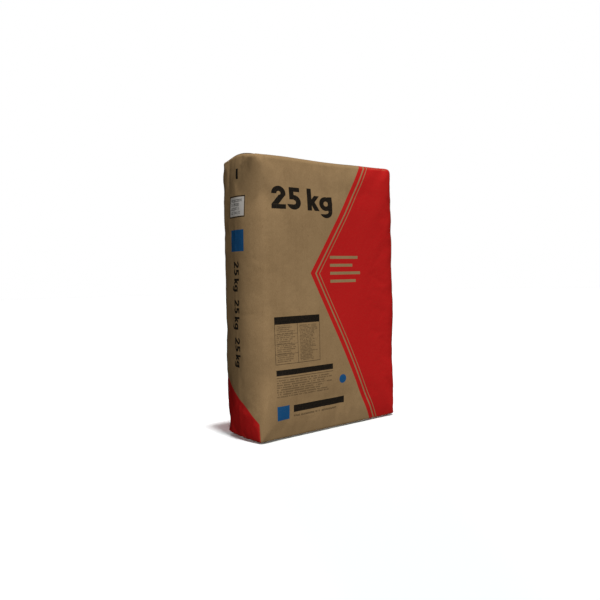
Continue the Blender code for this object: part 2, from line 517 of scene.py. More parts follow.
@dataclass(frozen=True)
class EndFolds:
    """What the folded flaps do to the face of a pasted end.

    The narrow flaps are folded in first, with edges at 45 degrees from the end's corners. The broad
    flaps lie on them and lap each other along the middle.

    Attributes:
        half_width: Half the end's width, in metres.
        half_depth: Half its depth.
        ply: How high the edge of a flap stands.
        lap: How far past the middle the upper broad flap reaches, towards the back.
        hollow: How deep the powder lets the face sink between its folds.
        flank: Half the width over which a flap's edge rises.
        rim: How far from the broad folds the face starts to wave.
        waves: Waves that never line up, as radians per metre across and in depth, and a start.
    """

    half_width: float
    half_depth: float
    ply: float = 0.45 * MM
    lap: float = 13 * MM
    hollow: float = 0.8 * MM
    flank: float = 1.2 * MM
    rim: float = 0.030
    waves: tuple[tuple[float, float, float], ...] = ((37, 9, 1.1), (23, -41, 0.4), (83, 61, 0.0))

    def at(self, x: np.ndarray, y: np.ndarray) -> np.ndarray:
        """The relief over places of the end, in metres.

        Args:
            x: Places across, in metres.
            y: Places in depth, in metres.

        Returns:
            How far the face stands up there.
        """
        past_diagonal = (self.half_width - np.abs(x)) - (self.half_depth - np.abs(y))
        broad = smoothstep(-self.flank, self.flank, past_diagonal)
        upper = smoothstep(self.lap + self.flank, self.lap - self.flank, y)
        inside = smoothstep(0.0, self.rim, self.half_depth - np.abs(y))
        first, second, third = (np.cos(across * x + deep * y + start) for across, deep, start in self.waves)
        return self.ply * broad * (1 + upper) + self.hollow * inside * (first * second + third / 2)


@dataclass
class PaperMesh:
    """A closed mesh of quads over the whole sack, with its ends' middle lines sewn up.

    Attributes:
        sheet: The grid's places on the flat paper.
        points: Its places on the sack.
        same_within: Decimals of a metre up to which places fall together.
    """

    sheet: Sheet
    points: np.ndarray
    same_within: int = 6

    def __post_init__(self) -> None:
        """Numbers the vertices, giving one number to the places that fall together."""
        rows, columns = self.points.shape[:2]
        self.numbers = np.arange(rows * columns).reshape(rows, columns)
        for row in (0, rows - 1):
            rounded = np.round(self.points[row], self.same_within)
            _, first, same = np.unique(rounded, axis=0, return_index=True, return_inverse=True)
            self.numbers[row] = self.numbers[row][first][same.reshape(-1)]
        self.used, compact = np.unique(self.numbers, return_inverse=True)
        self.numbers = compact.reshape(rows, columns)

    def normals(self) -> np.ndarray:
        """The outward direction at each place of the grid.

        Returns:
            Unit vectors, as (rows, columns, 3).
        """
        around = np.roll(self.points, -1, axis=1) - np.roll(self.points, 1, axis=1)
        upward = np.gradient(self.points, axis=0)
        normal = np.cross(around, upward)
        length = np.linalg.norm(normal, axis=2, keepdims=True)
        return normal / np.maximum(length, TINY)

    def build(self, name: str, uv_name: str = "") -> bpy.types.Object:
        """Makes the object, with the flat paper's coordinates as its UV map if it is named.

        Args:
            name: The object's name.
            uv_name: The UV map's name, or nothing for no map.

        Returns:
            The new object.
        """
        turned = np.roll(self.numbers, -1, axis=1)
        corners = np.stack([self.numbers[:-1], turned[:-1], turned[1:], self.numbers[1:]], axis=-1)
        u, v = self.sheet.u, self.sheet.v
        next_u = np.append(u[1:], u[0] + self.sheet.turn)
        corner_places = [
            np.stack(np.meshgrid(columns, rows), axis=-1)
            for columns, rows in ((u, v[:-1]), (next_u, v[:-1]), (next_u, v[1:]), (u, v[1:]))
        ]
        flat = np.stack(corner_places, axis=2)
        faces: list[tuple[int, ...]] = []
        uvs: list[Point] = []
        for quad, places in zip(corners.reshape(-1, 4).tolist(), flat.reshape(-1, 4, 2).tolist()):
            kept = [i for i in range(4) if quad[i] != quad[i - 1]]
            if len(kept) < 3 or len({quad[i] for i in kept}) < len(kept):
                continue
            faces.append(tuple(quad[i] for i in kept))
            uvs.extend(tuple(places[i]) for i in kept)
        mesh = mesh_from(name, self.points.reshape(-1, 3)[self.used], faces)
        if uv_name:
            layer = mesh.uv_layers.new(name=uv_name)
            layer.data.foreach_set("uv", np.array(uvs, np.float32).reshape(-1))
        return placed(name, mesh)


# Blender's cloth settings for full, stiff kraft paper
KRAFT_CLOTH: dict[str, float] = {
    "quality": 6,
    "mass": 0.25,
    "tension_stiffness": 40,
    "compression_stiffness": 40,
    "shear_stiffness": 15,
    "bending_stiffness": 4,
    "tension_damping": 10,
    "compression_damping": 10,
    "shear_damping": 10,
    "bending_damping": 2,
    "air_damping": 3,
    "pin_stiffness": 1,
    "use_pressure": True,
}


@dataclass(frozen=True)
class PressedPaper:
    """How the paper gives under the weight of the powder in it.

    Attributes:
        frames: Steps of the simulation.
        pressure: Push of the powder from inside.
        slack: Share by which the paper is longer than the form it fills.
        long_swell: Length up the sack over which a move counts as part of the fitted form, in metres.
        share: Share of a crease that is left at mid-height.
        end_share: Share of it that is left near the pasted ends.
        near_end: How far from an end the paper still counts as near it, in metres.
        off_end: How far from an end it counts as being at mid-height.
        most: The furthest that a crease may move a point, in metres.
    """

    frames: int = 20
    pressure: float = 3.0
    slack: float = 0.005
    long_swell: float = 0.070
    share: float = 0.30
    end_share: float = 0.62
    near_end: float = 0.02
    off_end: float = 0.15
    most: float = 0.0030

    def settle(self, grid: PaperMesh, pinned: np.ndarray) -> np.ndarray:
        """Simulates the paper and returns how its creases move each place of the grid.

        Args:
            grid: The sack's coarse mesh.
            pinned: How firmly each place is held, from 0 to 1.

        Returns:
            The moves, as (rows, columns, 3), without the long swells, which the form has already.
        """
        worker = grid.build("settling_paper")
        self._pin(worker, grid, np.round(pinned, 2))
        self._add_cloth(worker)
        change = self._pressed(worker)[grid.numbers] - grid.points
        v = grid.sheet.v
        from_end = np.minimum(v, v.max() + v.min() - v)[:, None, None]
        change -= smoothstep(0.0, self.long_swell, from_end) * self._long_part(change, v)
        calm = smoothstep(self.near_end, self.off_end, from_end)
        change *= self.end_share + (self.share - self.end_share) * calm
        length = np.linalg.norm(change, axis=2, keepdims=True)
        return change * (self.most * np.tanh(length / self.most) / np.maximum(length, TINY))

    @staticmethod
    def _pin(worker: bpy.types.Object, grid: PaperMesh, pinned: np.ndarray) -> None:
        """Gives the object a vertex group that says how firmly each place is held.

        Args:
            worker: The object to simulate.
            grid: Its grid.
            pinned: How firmly each place is held, from 0 to 1.
        """
        held = worker.vertex_groups.new(name="held")
        weights = np.zeros(len(grid.used))
        weights[grid.numbers.reshape(-1)] = pinned.reshape(-1)
        for level in np.unique(weights[weights > 0]):
            held.add(np.flatnonzero(weights == level).tolist(), float(level), "REPLACE")

    def _add_cloth(self, worker: bpy.types.Object) -> None:
        """Gives the object the paper's cloth.

        Args:
            worker: The object to simulate.
        """
        cloth = worker.modifiers.new("paper", "CLOTH")
        for name, value in KRAFT_CLOTH.items():
            setattr(cloth.settings, name, value)
        cloth.settings.uniform_pressure_force = self.pressure
        cloth.settings.shrink_min = -self.slack
        cloth.settings.vertex_group_mass = worker.vertex_groups[0].name
        cloth.settings.effector_weights.gravity = 0
        cloth.collision_settings.use_collision = False
        cloth.collision_settings.use_self_collision = False
        cloth.point_cache.frame_start = 1
        cloth.point_cache.frame_end = self.frames

    def _pressed(self, worker: bpy.types.Object) -> np.ndarray:
        """Runs the simulation and removes the object.

        Args:
            worker: The object to simulate.

        Returns:
            The last places of its vertices.
        """
        scene, shape = bpy.context.scene, worker.data
        for number in range(1, self.frames + 1):
            scene.frame_set(number)
        evaluated = worker.evaluated_get(bpy.context.evaluated_depsgraph_get())
        moved = np.empty(len(evaluated.data.vertices) * 3)
        evaluated.data.vertices.foreach_get("co", moved)
        scene.frame_set(1)
        bpy.data.objects.remove(worker, do_unlink=True)
        bpy.data.meshes.remove(shape)
        return moved.reshape(-1, 3)

    def _long_part(self, moves: np.ndarray, v: np.ndarray) -> np.ndarray:
        """The part of the moves that changes only slowly up the sack.

        Args:
            moves: The moves of the grid's places.
            v: Rows up it.

        Returns:
            The slow part of the moves.
        """
        off = (v[:, None] - v[None, :]) / self.long_swell
        weights = np.exp(-0.5 * off**2) * np.gradient(v)[None, :]
        weights /= weights.sum(axis=1, keepdims=True)
        return np.tensordot(weights, moves, axes=(1, 0))


@dataclass(frozen=True)
class Crease:
    """A short fold mark in the paper, along a line on the flat sheet.

    Attributes:
        start: Its first end, as (u, v) in millimetres.
        end: Its other end.
        height: How far its ridge stands out, in millimetres. Below 0 it is a groove.
        width: How far its flanks reach, in millimetres.
        past_ends: How far it runs on past its ends, as a share of its length.
        full_from: Share of its length over which it rises to its full height.
        flank_power: How sharp its ridge is.
    """

    start: Point
    end: Point
    height: float
    width: float
    past_ends: float = 0.05
    full_from: float = 0.3
    flank_power: float = 1.3

    def at(self, sheet: Sheet) -> np.ndarray:
        """The crease's relief over the sheet.

        Args:
            sheet: Places on the flat paper.

        Returns:
            The relief, in metres.
        """
        a, b = np.array(self.start) * MM, np.array(self.end) * MM
        along = b - a
        length = float(np.linalg.norm(along))
        from_u, from_v = sheet.past(a[0])[None, :], sheet.v[:, None] - a[1]
        share = (from_u * along[0] + from_v * along[1]) / length**2
        off = np.abs(from_u * along[1] - from_v * along[0]) / length
        opening = smoothstep(-self.past_ends, self.full_from, share)
        closing = smoothstep(1 + self.past_ends, 1 - self.full_from, share)
        flank = np.exp(-((off / (self.width * MM)) ** self.flank_power))
        return self.height * MM * flank * (opening * closing)


@dataclass(frozen=True)
class EdgeWave:
    """How far an upright edge stands out of line on its way up.

    Attributes:
        edge: The edge's u, in millimetres.
        reach: How far the wave fades out to either side, in millimetres.
        levels: Heights up the edge and how far it stands out there, in millimetres.
    """

    edge: float
    reach: float
    levels: tuple[Point, ...]

    def at(self, sheet: Sheet) -> np.ndarray:
        """The wave's relief over the sheet, in metres."""
        off = sheet.past(self.edge * MM) / (self.reach * MM)
        return sheet.lengths(self.levels) * np.exp(-(off**2))[None, :]


LOWER_SIDE_WAVE = EdgeWave(
    -233.0,
    75.0,
    ((0, 1.5), (30, 2.6), (110, 2.0), (220, 1.4), (330, 0.2), (540, 0.0)),
)
BACK_LEFT_WAVE = EdgeWave(
    -290.0,
    22.0,
    ((0, 0.0), (40, -1.6), (80, -1.6), (120, -0.2), (160, 1.0), (210, -0.5), (300, -0.7), (440, -0.4),
     (480, 0.9), (508, 3.2), (532, -0.6), (545, -0.6)),
)


@dataclass(frozen=True)
class SideShift:
    """How far the right narrow side bulges out on its way up, without turning the broad faces.

    Attributes:
        levels: Heights and how far the side stands out there, in millimetres.
        start: Where on the broad faces the stretch begins, as x in metres.
        end: Where it is whole.
    """

    levels: tuple[Point, ...] = (
        (0, 1.0), (18, 2.0), (36, 2.4), (60, 0.5), (95, -1.4), (130, 0.2), (165, 1.4), (205, 2.9),
        (230, 5.0), (266, 3.6), (310, 1.9), (345, 2.6), (385, 4.3), (425, 3.0), (461, 1.6), (497, 2.7),
        (522, 1.1), (541, 1.6),
    )
    start: float = 0.040
    end: float = 0.150

    def at(self, x: np.ndarray, sheet: Sheet) -> np.ndarray:
        """The shift to the right of the sheet's places, which are at x on the sack, in metres."""
        return sheet.lengths(self.levels) * smoothstep(self.start, self.end, x)


@dataclass(frozen=True)
class TopLine:
    """How far the top fold runs above its level, on its way round the sack.

    Attributes:
        places: Places round the sack and the rise there, as (u, rise) in millimetres.
    """

    places: tuple[Point, ...] = (
        (-290, 3.2), (-268, 2.4), (-233, 1.6), (-190, 1.4), (-150, 1.5), (-105, 1.9), (-60, 1.0),
        (-10, 0.2), (40, 0.4), (80, 1.5), (130, 1.9), (160, 2.4), (176, 3.6), (192, 2.2), (240, 1.6),
        (290, 2.8), (330, 1.2), (430, 0.6), (540, 1.4), (620, 1.0),
    )

    def at(self, sheet: Sheet) -> np.ndarray:
        """The rise at each column of the sheet.

        Args:
            sheet: Places on the flat paper.

        Returns:
            The rise, in metres.
        """
        around, rise = (np.array(part, float) for part in zip(*self.places))
        low = around[0] * MM
        return MM * cubic_resample(rise, around * MM, low + np.mod(sheet.u - low, sheet.turn), sheet.turn)


@dataclass(frozen=True)
class MarkRange:
    """How random fold marks lie and how strong they are, in millimetres.

    Attributes:
        lean: The most that one leans from the upright, in degrees.
        reach: The least and the greatest length.
        rise: The least and the greatest height.
        width: The least and the greatest reach of the flanks.
    """

    lean: float
    reach: Point
    rise: Point
    width: Point

    def draw(self, dice: np.random.Generator, start: Point, way: int, share: float = 1.0) -> Crease:
        """Draws one mark.

        Args:
            dice: Where the random values come from.
            start: Its first end, as (u, v) in millimetres.
            way: 1 if it runs up from there, or -1 if it runs down.
            share: Share of its height that is left.

        Returns:
            The mark.
        """
        lean = math.radians(dice.uniform(-self.lean, self.lean))
        reach = dice.uniform(*self.reach)
        end = (start[0] + reach * math.sin(lean), start[1] + way * reach * math.cos(lean))
        rise = dice.choice([-1, 1]) * dice.uniform(*self.rise)
        return Crease(start, end, share * rise, dice.uniform(*self.width))


@dataclass
class CreaseField:
    """The fold marks that handling left in the sack, some listed and the rest placed by rule.

    Attributes:
        sizes: The sack's measures.
        seed: Picks the random marks.
        per_corner: How many lie at each corner of the sack.
        loose: How many lie anywhere near the ends.
        spread: How far those at a corner stray round the sack, in millimetres.
        print_corner: How strong they are at the foot of the front-left edge, where the photo has few.
        from_fold: The least and the greatest distance of a corner mark from its fold, in millimetres.
        from_foot: The same for the loose marks near the foot.
        from_top: The same for those near the top.
        at_corner: How those at the corners lie.
        anywhere: How the loose ones lie.
        by_hand: The marks on the narrow side and the front's edge that catch the light.
    """

    sizes: SackSizes
    seed: int = 11
    per_corner: int = 7
    loose: int = 46
    spread: float = 13
    print_corner: float = 0.25
    from_fold: Point = (5, 16)
    from_foot: Point = (6, 40)
    from_top: Point = (6, 46)
    at_corner: MarkRange = MarkRange(55, (14, 46), (0.15, 0.6), (2.6, 5.5))
    anywhere: MarkRange = MarkRange(75, (10, 40), (0.06, 0.22), (2.6, 5.0))
    by_hand: tuple[Crease, ...] = (
        Crease((-271, 470), (-275, 538), 1.3, 4.0),
        Crease((-258, 474), (-257, 538), -1.5, 4.2),
        Crease((-218, 521), (-212, 538), -1.0, 5.0),
        Crease((-240, 240), (-160, 244), -0.35, 2.6),
        Crease((-150, 241), (-96, 238), -0.2, 2.6),
        Crease((-181, 352), (-171, 340), -0.6, 3.6),
        Crease((-186, 500), (-160, 536), 0.7, 5.0),
        Crease((172, 505), (180, 537), 0.9, 5.0),
    )

    def scattered(self) -> list[Crease]:
        """Short marks near the folds, thickest at the corners.

        Returns:
            The marks, always the same for a seed.
        """
        s = self.sizes
        dice = np.random.default_rng(self.seed)
        half, depth, height = s.width / 2 / MM, s.depth / MM, s.height / MM
        marks: list[Crease] = []
        for corner in (-half - depth, -half, half, half + depth):
            for level, way in ((height, -1), (0.0, 1)):
                share = self.print_corner if corner == -half and way > 0 else 1.0
                for _ in range(self.per_corner):
                    u = corner + dice.normal(0, self.spread)
                    v = level + way * dice.uniform(*self.from_fold)
                    marks.append(self.at_corner.draw(dice, (u, v), way, share))
        for _ in range(self.loose):
            u = dice.uniform(-half - depth, half + s.width / MM)
            low = dice.random() < 0.5
            v = dice.uniform(*self.from_foot) if low else height - dice.uniform(*self.from_top)
            marks.append(self.anywhere.draw(dice, (u, v), 1 if low else -1))
        return marks

    def at(self, sheet: Sheet) -> np.ndarray:
        """The relief of all the marks together, in metres."""
        return sum((mark.at(sheet) for mark in (*self.by_hand, *self.scattered())), sheet.blank())


class Sketch:
    """Adds nodes to a shader or geometry tree, in the order that they are used."""

    def __init__(self, tree: bpy.types.NodeTree) -> None:
        """Draws in the given tree."""
        self.tree = tree

    def node(self, kind: str, inputs: dict | None = None, **settings: object) -> bpy.types.Node:
        """Adds a node, sets its properties and feeds its inputs.

        Args:
            kind: Blender's name for the node.
            inputs: What goes into it, by the inputs' names or numbers: a socket or a plain value.
            settings: Its properties and their values.

        Returns:
            The new node.
        """
        made = self.tree.nodes.new(kind)
        for name, value in settings.items():
            setattr(made, name, value)
        self.feed(made, inputs or {})
        return made

    def feed(self, node: bpy.types.Node, inputs: dict) -> None:
        """Links sockets to a node's inputs and sets the inputs that get plain values.

        Args:
            node: The node.
            inputs: What goes into it, by the inputs' names or numbers.
        """
        for key, value in inputs.items():
            if isinstance(value, Socket):
                self.tree.links.new(value, node.inputs[key])
            else:
                node.inputs[key].default_value = value

    def math(self, operation: str, *values: Value, clamp: bool = False) -> Socket:
        """One step of arithmetic on the values, whose result stays from 0 to 1 if it is clamped."""
        inputs = dict(enumerate(values))
        return self.node("ShaderNodeMath", inputs, operation=operation, use_clamp=clamp).outputs[0]

    def product(self, *values: Value) -> Socket:
        """All the values multiplied."""
        return reduce(partial(self.math, "MULTIPLY"), values)

    def blend(self, share: Value, first: object, second: object) -> Socket:
        """Mixes two colours, with this share of the second."""
        return self.node("ShaderNodeMix", {0: share, 6: first, 7: second}, data_type="RGBA").outputs[2]

    def level(self, value: Value, low: float, high: float, start: float, end: float) -> Socket:
        """Maps the values from low to high to those from start to end, smoothly and never past them."""
        inputs = dict(enumerate((value, low, high, start, end)))
        return self.node("ShaderNodeMapRange", inputs, interpolation_type="SMOOTHSTEP").outputs[0]

    def stretched(self, vector: Socket, scale: tuple[float, float, float]) -> Socket:
        """The coordinates scaled along each axis, so that a pattern on them runs one way."""
        return self.node("ShaderNodeMapping", {"Vector": vector, "Scale": scale}).outputs[0]

    def noise(self, vector: Socket, scale: float, detail: float, roughness: float = 0.5) -> Socket:
        """A soft random value round 0.5: scale swells in a unit, and finer ones of that roughness."""
        inputs = {"Vector": vector, "Scale": scale, "Detail": detail, "Roughness": roughness}
        return self.node("ShaderNodeTexNoise", inputs).outputs[0]


class Shapes:
    """Flat shapes as signed distances in millimetres: below 0 inside and above 0 outside."""

    def __init__(self, sketch: Sketch, x: Value, y: Value) -> None:
        """Draws on the plane of x and y."""
        self.sketch, self.x, self.y = sketch, x, y

    def beyond(self, value: Value, middle: Value, half: float) -> Socket:
        """How far a value is from the middle, less half a width."""
        away = self.sketch.math("ABSOLUTE", self.sketch.math("SUBTRACT", value, middle))
        return self.sketch.math("SUBTRACT", away, half)

    def bar(self, left: float, right: float, low: float, high: float) -> Socket:
        """An upright rectangle, from its left to its right edge and from its foot to its top."""
        across = self.beyond(self.x, (left + right) / 2, (right - left) / 2)
        return self.common(across, self.beyond(self.y, (low + high) / 2, (high - low) / 2))

    def past_line(self, a: Point, b: Point) -> Socket:
        """Distance to the left of the line from a to b: everything on its right is inside.

        Args:
            a: A point of the line.
            b: A later point of it.

        Returns:
            The signed distance to the shape, in millimetres.
        """
        m = self.sketch.math
        length = math.dist(a, b)
        nx, ny = -(b[1] - a[1]) / length, (b[0] - a[0]) / length
        offset = nx * a[0] + ny * a[1]
        return m("SUBTRACT", m("MULTIPLY_ADD", self.x, nx, m("MULTIPLY", self.y, ny)), offset)

    def stroke(self, a: Point, b: Point, half: float) -> Socket:
        """A slanted stroke with level ends, from a to b, with half its width."""
        ends = self.beyond(self.y, (a[1] + b[1]) / 2, abs(a[1] - b[1]) / 2)
        return self.common(self.beyond(self.past_line(a, b), 0.0, half), ends)

    def ring(self, centre: Point, radius: float, half: float) -> Socket:
        """A round stroke.

        Args:
            centre: Its middle.
            radius: Radius of its middle line.
            half: Half its width.

        Returns:
            The signed distance to the shape, in millimetres.
        """
        m = self.sketch.math
        dx, dy = m("SUBTRACT", self.x, centre[0]), m("SUBTRACT", self.y, centre[1])
        far = m("SQRT", m("ADD", m("MULTIPLY", dx, dx), m("MULTIPLY", dy, dy)))
        return self.beyond(far, radius, half)

    def without(self, shape: Value, sign_x: int, x: float, sign_y: int, y: float) -> Socket:
        """The shape without the quarter of the plane past x and past y, on the signs' sides.

        Args:
            shape: The shape to cut.
            sign_x: 1 to cut to the right of x, or -1 to its left.
            x: The cut's upright edge.
            sign_y: 1 to cut above y, or -1 below it.
            y: The cut's level edge.

        Returns:
            The signed distance to the shape, in millimetres.
        """
        m = self.sketch.math
        past_x = m("MULTIPLY", m("SUBTRACT", self.x, x), float(sign_x))
        past_y = m("MULTIPLY", m("SUBTRACT", self.y, y), float(sign_y))
        return m("MAXIMUM", shape, m("MINIMUM", past_x, past_y))

    def join(self, *shapes: Value) -> Socket:
        """All the shapes together."""
        return reduce(partial(self.sketch.math, "MINIMUM"), shapes)

    def common(self, *shapes: Value) -> Socket:
        """Only where all the shapes are."""
        return reduce(partial(self.sketch.math, "MAXIMUM"), shapes)

    def repeated(self, first: float, pitch: float) -> Socket:
        """Height over the nearest of many level lines, of which one is at first."""
        return self.sketch.math("WRAP", self.sketch.math("SUBTRACT", self.y, first), pitch / 2, -pitch / 2)

    def frame(self, left: float, right: float, low: float, high: float, half: float) -> Socket:
        """The outline of a rectangle, drawn with a line of twice the half width."""
        return self.beyond(self.bar(left, right, low, high), 0.0, half)

    def ink(self, shape: Value, edge: float = 0.35) -> Socket:
        """How much ink lies there, from 0 to 1, with an edge that wide."""
        return self.sketch.math("SUBTRACT", 0.5, self.sketch.math("DIVIDE", shape, edge), clamp=True)


@dataclass(frozen=True)
class FinePrint:
    """Rows of mock letters as coarse as fine print, with a ragged right edge, in millimetres.

    Each letter is a small square stroke that is open on one of its four sides.

    Attributes:
        box: Its edges.
        pitch: From one line to the next.
        height: Height of a letter.
        seed: Picks the letters.
        advance: From one letter to the next, in heights of a letter.
        half_width: Half a letter's width, in heights of it.
        stroke: Half the width of its stroke, in heights of it.
        opening: Half the width of its open side, in heights of it.
        ragged: The most by which a line falls short, as a share of the box's width.
        spaces: Share of the places that are left empty.
        mixing: Turns the chance of a space into one that picks the open side.
        out_of_sight: How far an empty place counts as lying from the ink.
    """

    box: Box
    pitch: float
    height: float
    seed: float
    advance: float = 0.80
    half_width: float = 0.30
    stroke: float = 0.09
    opening: float = 0.15
    ragged: float = 0.35
    spaces: float = 0.17
    mixing: float = 37.0
    out_of_sight: float = 9.0

    def draw(self, p: Shapes) -> Socket:
        """Draws the rows.

        Args:
            p: The plane, in millimetres.

        Returns:
            The signed distance to the letters, in millimetres.
        """
        m = p.sketch.math
        left, right, low, high = self.box
        middle, advance = low + self.pitch / 2, self.advance * self.height
        line = m("ROUND", m("DIVIDE", m("SUBTRACT", p.y, middle), self.pitch))
        cell = m("FLOOR", m("DIVIDE", p.x, advance))
        chance = self._chance(p.sketch, cell, m("ADD", line, self.seed))
        length = self._chance(p.sketch, m("ADD", line, 2 * self.seed), self.seed)
        end = m("MULTIPLY_ADD", length, -self.ragged * (right - left), right)
        inside = p.common(p.bar(left, right, low, high), m("SUBTRACT", p.x, end))
        across = m("SUBTRACT", m("WRAP", p.x, advance, 0.0), advance / 2)
        letter = self._letter(Shapes(p.sketch, across, p.repeated(middle, self.pitch)), chance)
        gaps = m("MULTIPLY", m("LESS_THAN", chance, self.spaces), self.out_of_sight)
        return m("ADD", p.common(letter, inside), gaps)

    def _letter(self, p: Shapes, chance: Value) -> Socket:
        """A small square stroke that is open on one of its four sides, as chance picks.

        Args:
            p: The letter's own plane, in millimetres.
            chance: A value from 0 to 1.

        Returns:
            The signed distance to the letter, in millimetres.
        """
        m = p.sketch.math
        stroke = self.stroke * self.height
        left, low = self.half_width * self.height - stroke, self.height / 2 - stroke
        way = m("FLOOR", m("WRAP", m("MULTIPLY", chance, self.mixing), 4.0, 0.0))
        angle = m("MULTIPLY", way, math.pi / 2)
        cosine, sine = m("COSINE", angle), m("SINE", angle)
        ahead = m("MULTIPLY_ADD", p.x, cosine, m("MULTIPLY", p.y, sine))
        beside = m("ABSOLUTE", m("SUBTRACT", m("MULTIPLY", p.y, cosine), m("MULTIPLY", p.x, sine)))
        opening = p.common(m("MULTIPLY", ahead, -1.0), m("SUBTRACT", beside, self.opening * self.height))
        return p.common(p.frame(-left, left, -low, low, stroke), m("MULTIPLY", opening, -1.0))

    @staticmethod
    def _chance(sketch: Sketch, x: Value, y: Value) -> Socket:
        """A random value from 0 to 1 for each whole x and y."""
        joined = sketch.node("ShaderNodeCombineXYZ", {0: x, 1: y}).outputs[0]
        return sketch.node("ShaderNodeTexWhiteNoise", {"Vector": joined}, noise_dimensions="2D").outputs[0]


@dataclass(frozen=True)
class WeightFigures:
    """The net weight, 25 kg, in heavy plain figures, in millimetres.

    Attributes:
        height: Height of a figure.
        left: Where the line starts.
        base: The line that the figures stand on.
        extend: How much wider the figures are than plain ones.
        downward: Whether the line reads down the sack.
    """

    height: float
    left: float
    base: float
    extend: float = 1.0
    downward: bool = False

    def draw(self, p: Shapes) -> Socket:
        """Draws the figures.

        Args:
            p: The plane, in millimetres.

        Returns:
            The signed distance to the figures, in millimetres.
        """
        m = p.sketch.math
        run, rise = m("SUBTRACT", p.x, self.left), m("SUBTRACT", p.y, self.base)
        if self.downward:
            run, rise = m("SUBTRACT", self.left, p.y), m("SUBTRACT", p.x, self.base)
        along = m("DIVIDE", run, self.height * self.extend)
        up = m("DIVIDE", rise, self.height)
        glyphs = ((self._two, 0.0), (self._five, 0.73), (self._k, 1.66), (self._g, 2.27))
        figures = (draw(Shapes(p.sketch, m("SUBTRACT", along, start), up)) for draw, start in glyphs)
        return m("MULTIPLY", p.join(*figures), self.height)

    @staticmethod
    def _two(p: Shapes) -> Socket:
        """The figure 2.

        Args:
            p: The plane, in heights of a figure.

        Returns:
            The signed distance to it.
        """
        bowl = p.without(p.ring((0.315, 0.685), 0.205, 0.115), -1, 0.315, -1, 0.665)
        return p.join(
            p.without(bowl, 1, 0.3, -1, 0.575),
            p.stroke((0.475, 0.615), (0.152, 0.205), 0.118),
            p.bar(0.0, 0.635, 0.0, 0.205),
        )

    @staticmethod
    def _five(p: Shapes) -> Socket:
        """The figure 5, on a plane that measures in heights of a figure."""
        bowl = p.without(p.ring((0.285, 0.325), 0.215, 0.118), -1, 0.285, 1, 0.225)
        return p.join(bowl, p.bar(0.075, 0.575, 0.8, 1.0), p.bar(0.075, 0.295, 0.44, 1.0))

    @staticmethod
    def _k(p: Shapes) -> Socket:
        """The letter k, on a plane that measures in heights of a figure."""
        arms = (p.stroke((0.13, 0.26), (0.475, 0.7), 0.098), p.stroke((0.2, 0.47), (0.475, 0.0), 0.108))
        return p.join(p.bar(0.0, 0.215, 0.0, 1.02), *arms)

    @staticmethod
    def _g(p: Shapes) -> Socket:
        """The letter g, on a plane that measures in heights of a figure."""
        hook = p.without(p.without(p.ring((0.315, 0.0), 0.215, 0.098), 1, -9.0, 1, 0.0), -1, 0.3, 1, -0.13)
        return p.join(p.ring((0.315, 0.36), 0.225, 0.108), p.bar(0.42, 0.635, 0.0, 0.7), hook)


@dataclass(frozen=True)
class Ink:
    """One printed colour.

    Attributes:
        colour: The ink laid thick on kraft, as linear red, green and blue.
        cover: How much of the paper it hides.
    """

    colour: tuple[float, float, float]
    cover: float


